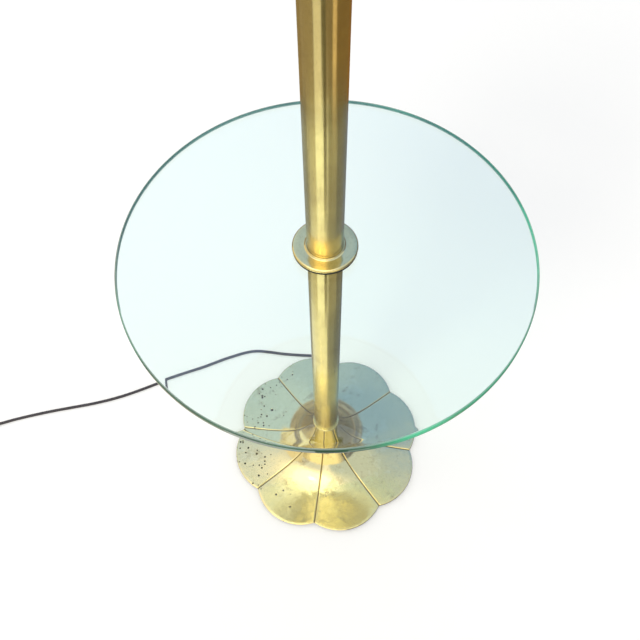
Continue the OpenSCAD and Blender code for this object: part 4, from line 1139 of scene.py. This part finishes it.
    def ballast(self):
        """The iron ballast under the bell, and the nut and washer that draw the column down."""
        top, recess, outer = high("base_weight").z, high("base_washer").z, CAVITY_R - 0.3
        shoulder = [(r, min(top, self.flare(r + 2.8)[0] - 2.8))
                    for r in (22.4, 45, 60, 75, 90, 105, 120, 132, outer)]
        iron = turned("ballast", [(PIPE_WAY_R, top)] + shoulder + [
            (outer, self.rim), (28, self.rim), (28, recess), (PIPE_WAY_R, recess)], 96, 30)
        dress(self.slotted(iron, 27, SLOT_H), "iron", "base_weight")
        z0, z1, _ = extent("base_washer")
        lathed("foot_washer", "base_washer", "steel", band(PIPE_WAY_R, 18, z0, z1, 0.4), 64, 3)
        hex_nut("foot_nut", "base_nut")


def hex_nut(name, node):
    """A hexagon nut, 16 mm across with chamfered corners, round the column's axis."""
    z0, z1, _ = extent(node)
    flat, corner, chamfer = 8, 9.232, 0.7
    rows = [(PIPE_WAY_R, z0), (flat, z0), (corner, z0 + chamfer), (corner, z1 - chamfer), (flat, z1),
            (PIPE_WAY_R, z1)]

    def place(c, r):
        radius, z = rows[r % len(rows)]
        a = TURN * (c % 48) / 48
        off = (a + TURN / 12) % (TURN / 6) - TURN / 12
        radius = min(radius, max(flat / cos(off), PIPE_WAY_R))
        return radius * cos(a), radius * sin(a), z

    dress(sheeted(name, 49, len(rows) + 1, place, 25), "steel", node)


# ---------------------------------------------------------------- column

TUBE_R, TUBE_IN_R, PIPE_R, PIPE_IN_R = 20, 18.8, 5, 3.5


class LAMP_OT_column(bpy.types.Operator):
    """Turns the column's tubes, its domed cap and the threaded pipe inside"""

    bl_idname = "lamp.column"
    bl_label = "Column"

    def execute(self, context):
        for node, name in (("lower_column", "column_below_table"), ("upper_column", "column_above_table")):
            lathed(name, node, "tube", band(TUBE_IN_R, TUBE_R, *extent(node)[:2], 0.4), 192, 4)
        self.cap()
        for node, name in (("lower_pipe", "threaded_pipe_lower"), ("upper_pipe", "threaded_pipe_upper")):
            lathed(name, node, "steel", band(PIPE_IN_R, PIPE_R, *extent(node)[:2], 0.4), 48, 3)
        lathed("pipe_coupling_nut", "pipe_coupling", "steel",
               band(PIPE_WAY_R, 7.5, *extent("pipe_coupling")[:2], 0.6), 48, 3)
        hex_nut("table_clamp_nut", "clamp_nut")
        return {"FINISHED"}

    def cap(self):
        """The cap: a bead, a cove that draws in to the neck, and the ring under the harp."""
        z0, top, _ = extent("column_cap")
        z, neck, dome = z0 + PLUG_L, 9, 22
        cove = [(neck + (TUBE_R - 1 - neck) * (1 + x), z + 4 + dome * (1 + y))
                for y, x in arc(0, 0, 1, 180, 270, 14)]
        lathed("column_cap_dome", "column_cap", "spun", [
            (PIPE_WAY_R, z0), (PLUG_R, z0, 0.3), (PLUG_R, z), (TUBE_R, z, 0.3), (TUBE_R + 1.1, z + 2, 1.6),
            (TUBE_R - 0.2, z + 4, 0.3), *cove, (neck, top, 0.3), (PIPE_WAY_R, top)], 160)
        z0, z1, r = extent("check_ring")
        lathed("check_ring_bead", "check_ring", "spun", band(PIPE_WAY_R, r, z0, z1, 1.4), 96, 6)


# ---------------------------------------------------------------- table

GLASS_HOLE_R, GLASS_ARRIS = 8, 2.4


class LAMP_OT_table(bpy.types.Operator):
    """Models the glass table, its hub, washers and collar"""

    bl_idname = "lamp.table"
    bl_label = "Glass table"

    def execute(self, context):
        gap = 0.04  # keeps touching faces from sharing a plane in the glass
        self.hub()
        z0, z1, _ = extent("glass_table")
        g0, _, r = extent("lower_gasket")
        lathed("washer_under_glass", "lower_gasket", "rubber",
               band(GLASS_HOLE_R, r, g0, z0 - gap, 0.5), 96, 4)
        self.glass()
        lathed("hole_bushing", "glass_bushing", "nylon", band(PIPE_WAY_R, 7.9, z0, z1, 0.3), 64, 3)
        _, g1, r = extent("upper_gasket")
        lathed("washer_over_glass", "upper_gasket", "rubber",
               band(GLASS_HOLE_R, r + 1.6, z1 + gap, g1, 0.5), 128, 4)
        self.collar()
        return {"FINISHED"}

    def hub(self):
        """The hub: a short sleeve with a cove out to the flange under the glass."""
        z0, top, r = extent("lower_collar")
        cove = arc(r, top - 3 - (r - TUBE_R), r - TUBE_R, 180, 90)
        lathed("table_hub", "lower_collar", "spun", [
            (PIPE_WAY_R, z0), (PLUG_R, z0, 0.3), (PLUG_R, z0 + PLUG_L), (TUBE_R, z0 + PLUG_L, 0.2), *cove,
            (r, top - 3, 0.4), (r, top, 0.6), (PIPE_WAY_R, top)], 160)

    def glass(self):
        """Float glass with a ground and polished flat edge, whose corners are rounded."""
        z0, z1, r = extent("glass_table")
        e = GLASS_ARRIS
        faces = [GLASS_HOLE_R, 60, 120, 180, r - 8]
        o = turned("table_glass", [(q, z0) for q in faces] + arc(r - e, z0 + e, e, -90, 0)
                   + arc(r - e, z1 - e, e, 0, 90) + [(q, z1) for q in reversed(faces)], 256, 30)
        dress(o, "glass", "glass_table")
        o.data.materials.append(PALETTE["edge"])
        for f in o.data.polygons:
            f.material_index = int(hypot(f.center.x, f.center.y) > (r - e * 0.75) * MM)

    def collar(self):
        """The collar: a thick disc with a full round rim and a bead against the column."""
        z0, _, r = extent("upper_collar")
        top, bore, rim = z0 + 5, TUBE_R + 0.08, 2.5
        o = turned("table_collar", [(PIPE_WAY_R, z0)] + arc(r - rim, z0 + rim, rim, -90, 90, 14) + rounded(
            [(r - 8, top), (NECK_R + 1.4, top, 0.8), (NECK_R + 0.2, top + 1.0, 0.5),
             (NECK_R - 0.2, top + 1.8, 0.5), (bore, top + 1.8, 0.2), (bore, top + 0.02),
             (PLUG_R, top + 0.02), (PLUG_R, top + PLUG_L), (PIPE_WAY_R, top + PLUG_L)], 4), 192, 30)
        dress(o, "spun", "upper_collar")


# ---------------------------------------------------------------- lamp holder


class LAMP_OT_holder(bpy.types.Operator):
    """Models the lamp holder, its screw shell and the turn key"""

    bl_idname = "lamp.holder"
    bl_label = "Lamp holder"

    def execute(self, context):
        self.cap()
        self.key_z = sum(extent("switch_knob")[:2]) / 2
        self.shells()
        z0, z1, r = extent("socket_body")
        lathed("holder_core", "socket_body", "phenolic", [
            (0, z0), (r - 0.6, z0, 0.8), (r - 0.6, z1 - 5, 0.5), (r - 1, z1 - 5),
            (r - 1, z1, 0.8), (0, z1)], n=4)
        self.thread()
        z0, z1, _ = extent("centre_contact")
        lathed("centre_tongue", "centre_contact", "contact",
               [(0, z0), (4, z0, 0.3), (4, z1, 0.6), (0, z1)], 48, 3)
        self.key()
        return {"FINISHED"}

    def cap(self):
        z0, z1, r = extent("socket_cap")
        lathed("holder_cap", "socket_cap", "spun", [
            (PIPE_WAY_R, z0), (7, z0, 0.5), (7, z0 + 6, 0.8), (r - 2, z0 + 9, 1.2), (r, z0 + 11.5, 1.2),
            (r, z1, 0.3), (r - 0.8, z1), (r - 0.8, z0 + 12, 0.8), (r - 2.8, z0 + 9.8, 0.8),
            (PIPE_WAY_R, z0 + 7)])

    def shells(self):
        """The brass shell with its bead and rolled mouth, and the fibre liner, bored for the key."""
        z0, z1, r = extent("socket_shell")
        bead = [(r - 0.6, z0), (r, z0), (r, z1 - 9), (r - 0.5, z1 - 8, 0.4), (r - 0.5, z1 - 6, 0.4),
                (r, z1 - 5)]
        o = turned("holder_shell", rounded(
            bead + arc(r - 0.9, z1 - 0.9, 0.9, 0, 150, 6)
            + [(r - 1.7, z1 - 1.6), (r - 1.1, z1 - 5.4), (r - 1.1, z1 - 8.6)]), 96)
        dress(self.bored(o), "spun", "socket_shell")
        z0, z1, r = extent("socket_liner")
        o = turned("fibre_liner", [(r - 0.8, z0), (r - 0.5, z0), (r - 0.5, z1), (r - 0.8, z1)], 96)
        dress(self.bored(o), "fibre", "socket_liner")

    def bored(self, o):
        """Bores the key's way through a shell's front."""
        return carved(o, rod(3.5, 30, 40, (0, -15, self.key_z), 90))

    def thread(self):
        """The screw shell, pressed into rounded threads."""
        z0, z1, r = extent("screw_shell")
        count = int((z1 - z0 - 4) / THREAD_STEP) + 1
        outline = [(r, z0), *threads(r, z0 + 2, 0.35, count), (r, z1)]
        outline += [(q - 0.4, z) for q, z in reversed(outline)]
        dress(turned("thread_shell", outline, 72), "contact", "screw_shell")

    def key(self):
        """The turn key: a shaft, a collar and a flat waisted grip, on the switch's body."""
        face, thick = -low("switch_knob").y - 17, 2.0
        stem = turned("turn_key", rounded(
            [(0, 5), (2.5, 5, 0.3), (2.5, face, 0.2), (5, face, 0.6), (5, face + 3.4, 0.8),
             (3.4, face + 5.6, 0.8), (0, face + 5.6)], 4), 48)
        moved(stem, (0, 0, self.key_z), 90)
        grip = [(3.2, 4.6), (3.6, 6.2), (5.6, 7.4), (7.6, 9.0), (8.4, 11.2), (8.0, 13.6), (6.2, 15.6),
                (3.4, 16.7), (0, 17)]
        outline = [Vector(p) for p in grip + [(-x, y) for x, y in reversed(grip[:-1])]]
        middle = Vector((0, 10.5))
        levels = [(-1, 0.80), (-0.8, 0.93), (-0.4, 1), (0.4, 1), (0.8, 0.93), (1, 0.80)]

        def place(c, r):
            rise, share = levels[r]
            p = middle + (outline[c % len(outline)] - middle) * share
            return p.x, -(face + p.y), self.key_z + rise * thick

        paddle = sheeted("key_grip", len(outline) + 1, len(levels), place, 30, True)
        dress(joined("turn_key", stem, paddle), "phenolic", "switch_knob", body="switch_knob")


# ---------------------------------------------------------------- lamp


class LAMP_OT_bulb(bpy.types.Operator):
    """Turns the frosted lamp and its screw cap"""

    bl_idname = "lamp.bulb"
    bl_label = "Lamp"

    def execute(self, context):
        z0, z1, r = extent("bulb_cap")
        lower = [(0, z0), (3.6, z0, 0.5), (4.4, z0 + 1.2), (9, z0 + 2.2), (r - 1, z0 + 3.4, 0.5)]
        o = turned("screw_cap", rounded(lower) + threads(r, z0 + 4.6, 0.3, 42)
                   + [(r, z1 - 2), (r, z1), (0, z1)], 96)
        dress(o, "contact", "bulb_cap", slot="dark_brass")
        z0, z1, r = extent("bulb")
        ball, neck = z1 - z0 - r, r - 15.8
        side = [(neck + (r - neck) * (1 - cos(pi * k / 20)) / 2, z0 + ball * k / 20) for k in range(20)]
        crown = arc(0, z0 + ball, r, 0, 90, 18)[:-1]
        lathed("frosted_bulb", "bulb", "opal", [(0, z0), *side, *crown, (0, z1)])
        return {"FINISHED"}


# ---------------------------------------------------------------- harp

HARP_X, HARP_WIDE, HARP_WIRE = 27, 50, 3.6


class LAMP_OT_harp(bpy.types.Operator):
    """Bends the harp and models its saddle and the two sliding sleeves"""

    bl_idname = "lamp.harp"
    bl_label = "Harp"

    def execute(self, context):
        self.saddle()
        foot, top = low("harp").z, high("harp").z - 14
        leg = low("harp_sleeve_left").z + 40 + 2 * HARP_WIRE
        side = [(HARP_X, foot), (HARP_X, leg - 30), (HARP_X, leg - HARP_WIRE), (HARP_X, leg)]
        side += [(x, leg + (top - leg) * share) for x, share in (
            (HARP_X + 3, 0.08), (HARP_WIDE - 5, 0.24), (HARP_WIDE, 0.42), (HARP_WIDE - 2, 0.62),
            (HARP_WIDE * 0.76, 0.82), (HARP_WIDE * 0.42, 0.95))]
        bend = [(x, 0, z) for x, z in side + [(0, top - HARP_WIRE / 2)]]
        bend += [(-x, 0, z) for x, z in reversed(side)]
        section = arc(0, 0, HARP_WIRE / 2 - 0.03, 0, 360 * 13 / 14, 13)
        wire = swept("harp_wire", smooth_path(bend, 7), section, (0, 1, 0))
        seat = turned("harp_seat", rounded(
            [(0, top - HARP_WIRE), (8, top - HARP_WIRE, 0.5), (8, top + 2, 0.5), (3.2, top + 2),
             (3.2, top + 14, 0.4), (0, top + 14)], 3), 48)
        dress(joined("harp_wire", wire, seat), "plated", "harp")
        for node, x in (("harp_sleeve_left", -HARP_X), ("harp_sleeve_right", HARP_X)):
            z0, z1, _ = extent(node)
            o = lathed(node + "_tube", node, "spun", [
                (1.85, z0), (3.05, z0, 0.4), (3.05, z0 + 2.2, 0.2), (2.7, z0 + 2.8, 0.3),
                (2.7, z1 - 2.8, 0.3), (3.05, z1 - 2.2, 0.2), (3.05, z1, 0.4), (1.85, z1)], 48, 3, body=node)
            moved(o, (x, 0, 0))
        return {"FINISHED"}

    def saddle(self):
        """A strap bent from plate, with a post at each end for the harp's legs."""
        z0, post, _ = extent("harp_saddle")
        t, half, eye = 1.6, 4.5, 10
        waist = [(x, sqrt(max(eye ** 2 - x * x, half ** 2))) for x in (8.6, 6, 3, 0, -3, -6, -8.6)]
        waist = [(12, half), *waist, (-12, half)]
        outline = arc(HARP_X, 0, half, 0, 90, 6) + waist + arc(-HARP_X, 0, half, 90, 180, 6)
        outline += [(-x, -y) for x, y in outline]
        levels = [(z0, 0.35), (z0 + 0.35, 0), (z0 + t - 0.35, 0), (z0 + t, 0.35)]

        def place(c, r):
            x, y = outline[c % len(outline)]
            z, inset = levels[r]
            k = 1 - inset / max(half, hypot(x, y))
            return x * k, y * k, z

        plate = sheeted("harp_saddle_plate", len(outline) + 1, len(levels), place, 30, True)
        pin = rounded([(0, z0 + 0.5), (1.75, z0 + 0.5), (1.75, post, 0.7), (0, post)], 4)
        posts = [moved(turned("post", pin, 32), (x, 0, 0)) for x in (-HARP_X, HARP_X)]
        plate = carved(plate, rod(PIPE_WAY_R, 20, 48, (0, 0, z0)))
        dress(joined("harp_saddle_plate", plate, *posts), "plated", "harp_saddle")


# ---------------------------------------------------------------- shade

SHADE_BOTTOM_R, SHADE_TOP_R, SHADE_WALL, SHADE_WIRE_R = 203, 127, 1.2, 1.5


class LAMP_OT_shade(bpy.types.Operator):
    """Makes the linen shade, its lining, trims, wires and finial"""

    bl_idname = "lamp.shade"
    bl_label = "Shade and finial"

    def execute(self, context):
        self.z0, self.z1, _ = extent("shade")
        dress(unrolled(self.cone("shade_linen", 0, 0.55)), "linen", "shade")
        dress(self.cone("shade_lining", 0.6, 1.15), "lining")
        dress(unrolled(self.hem("shade_hem_top", self.z1, -1)), "linen")
        dress(unrolled(self.hem("shade_hem_bottom", self.z0, 1)), "linen")
        self.wires()
        self.finial()
        for o in bpy.context.scene.objects:
            if o.name.startswith("shade_"):
                o.visible_glossy = False  # the foot mirrors the sky above, not the shade's dark inside
        return {"FINISHED"}

    def radius(self, z):
        return SHADE_BOTTOM_R + (SHADE_TOP_R - SHADE_BOTTOM_R) * (z - self.z0) / (self.z1 - self.z0)

    def cone(self, name, inside, outside):
        """A conical skin between two depths under the shade's outer face."""
        z = [self.z0 + 0.4 + (self.z1 - self.z0 - 0.8) * k / 12 for k in range(13)]
        return turned(name, [(self.radius(q) - inside, q) for q in z]
                      + [(self.radius(q) - outside, q) for q in reversed(z)], 192)

    def hem(self, name, z, way):
        """A strip of linen folded over the shade's edge: depths from the edge and heights over
        the shade's outer face."""
        strip = ((9, 0.05), (8.6, 0.45), (5, 0.5), (1.2, 0.5), (0.3, 0.2), (0.0, -0.4), (0.2, -1.2),
                 (1.0, -1.5), (5, -1.45), (5.4, -1.2), (5.4, -0.62), (9, -0.02))
        return turned(name, [(self.radius(z + way * d) + t, z + way * d) for d, t in strip], 192)

    def ring(self, name, z):
        """A wire ring inside the shade, and its radius."""
        r = self.radius(z + SHADE_WIRE_R) - SHADE_WALL - SHADE_WIRE_R - 0.3
        return turned(name, arc(r, z, SHADE_WIRE_R, 0, 330, 11), 144, 50), r

    def wires(self):
        """The fitter: a ring at the top, a washer on the harp and three bent arms."""
        top, reach = self.ring("shade_wire", self.z1 - 3)
        f0 = high("harp").z - 12
        washer = turned("fitter_washer", rounded(band(3.3, 9, f0, f0 + 4, 0.5), 3), 48)
        arms, rise = [], self.z1 - 3 - f0 - SHADE_WIRE_R
        for k in range(3):
            away = Vector((cos(TURN * (k + 0.25) / 3), sin(TURN * (k + 0.25) / 3), 0))
            path = [away * q + Vector((0, 0, f0 + SHADE_WIRE_R + rise * s)) for q, s in (
                (6, 0), (16, 0.02), (24, 0.10), (reach * 0.5, 0.45), (reach * 0.8, 0.78), (reach, 1))]
            arms.append(swept("arm", smooth_path(path, 6), arc(0, 0, SHADE_WIRE_R, 0, 330, 11)))
        dress(joined("shade_spider_wires", top, washer, *arms), "contact", "shade_spider")
        dress(self.ring("shade_bottom_wire", self.z0 + 3)[0], "contact", "shade_ring")

    def finial(self):
        z0, z1, _ = extent("finial")
        ball = 9
        foot = z1 - z0 - 2 * ball
        stem = [(6.2, 0.3, 0.8), (4.2, 0.42, 1.0), (4.2, 0.6, 0.6), (6.2, 0.72, 0.6), (5.0, 0.95, 0.6)]
        outline = [(3.3, z0), (6.2, z0, 0.5)] + [(r, z0 + foot * share, corner) for r, share, corner in stem]
        o = turned("finial_ball", rounded(outline, 4) + arc(0, z1 - ball, ball, -56, 88, 22)
                   + [(0, z1), (0, z0 + 14), (3.3, z0 + 13)], 96)
        dress(o, "spun", "finial")


def unrolled(o):
    """Gives a UV map in metres: along the shade's mean girth, and up its slope."""
    layer = o.data.uv_layers.new(name="UVMap")
    girth = (SHADE_BOTTOM_R + SHADE_TOP_R) / 2 * MM
    for f in o.data.polygons:
        mid = atan2(f.center.y, f.center.x)
        for i in f.loop_indices:
            p = o.data.vertices[o.data.loops[i].vertex_index].co
            off = (atan2(p.y, p.x) - mid + pi) % TURN - pi
            layer.data[i].uv = (girth * (mid + off), p.z * 1.04)
    return o


# ---------------------------------------------------------------- list and run

CLASSES = [*SETTINGS.values(), LAMP_OT_stage, LAMP_OT_cord, LAMP_OT_foot, LAMP_OT_column, LAMP_OT_table,
           LAMP_OT_holder, LAMP_OT_bulb, LAMP_OT_harp, LAMP_OT_shade]
STEPS = ["stage", "cord", "foot", "column", "table", "holder", "bulb", "harp", "shade"]


class LAMP_PT_panel(bpy.types.Panel):
    """Lists the lamp's operators and settings"""

    bl_idname = "LAMP_PT_panel"
    bl_label = "Floor Lamp"
    bl_space_type = "VIEW_3D"
    bl_region_type = "UI"
    bl_category = "Floor Lamp"

    def draw(self, context):
        for step in STEPS:
            self.layout.operator(f"lamp.{step}")
        for name, kind in SETTINGS.items():
            group = self.layout.box()
            for key in kind.__annotations__:
                group.prop(getattr(context.scene, name), key)


def register():
    for c in [*CLASSES, LAMP_PT_panel]:
        bpy.utils.register_class(c)
    for name, kind in SETTINGS.items():
        setattr(bpy.types.Scene, name, bpy.props.PointerProperty(type=kind))


def unregister():
    for name in SETTINGS:
        delattr(bpy.types.Scene, name)
    for c in reversed([*CLASSES, LAMP_PT_panel]):
        bpy.utils.unregister_class(c)


def main():
    register()
    PALETTE.update(make_materials(bpy.context.scene))
    for step in STEPS:
        getattr(bpy.ops.lamp, step)()


if __name__ == "__main__":
    main()
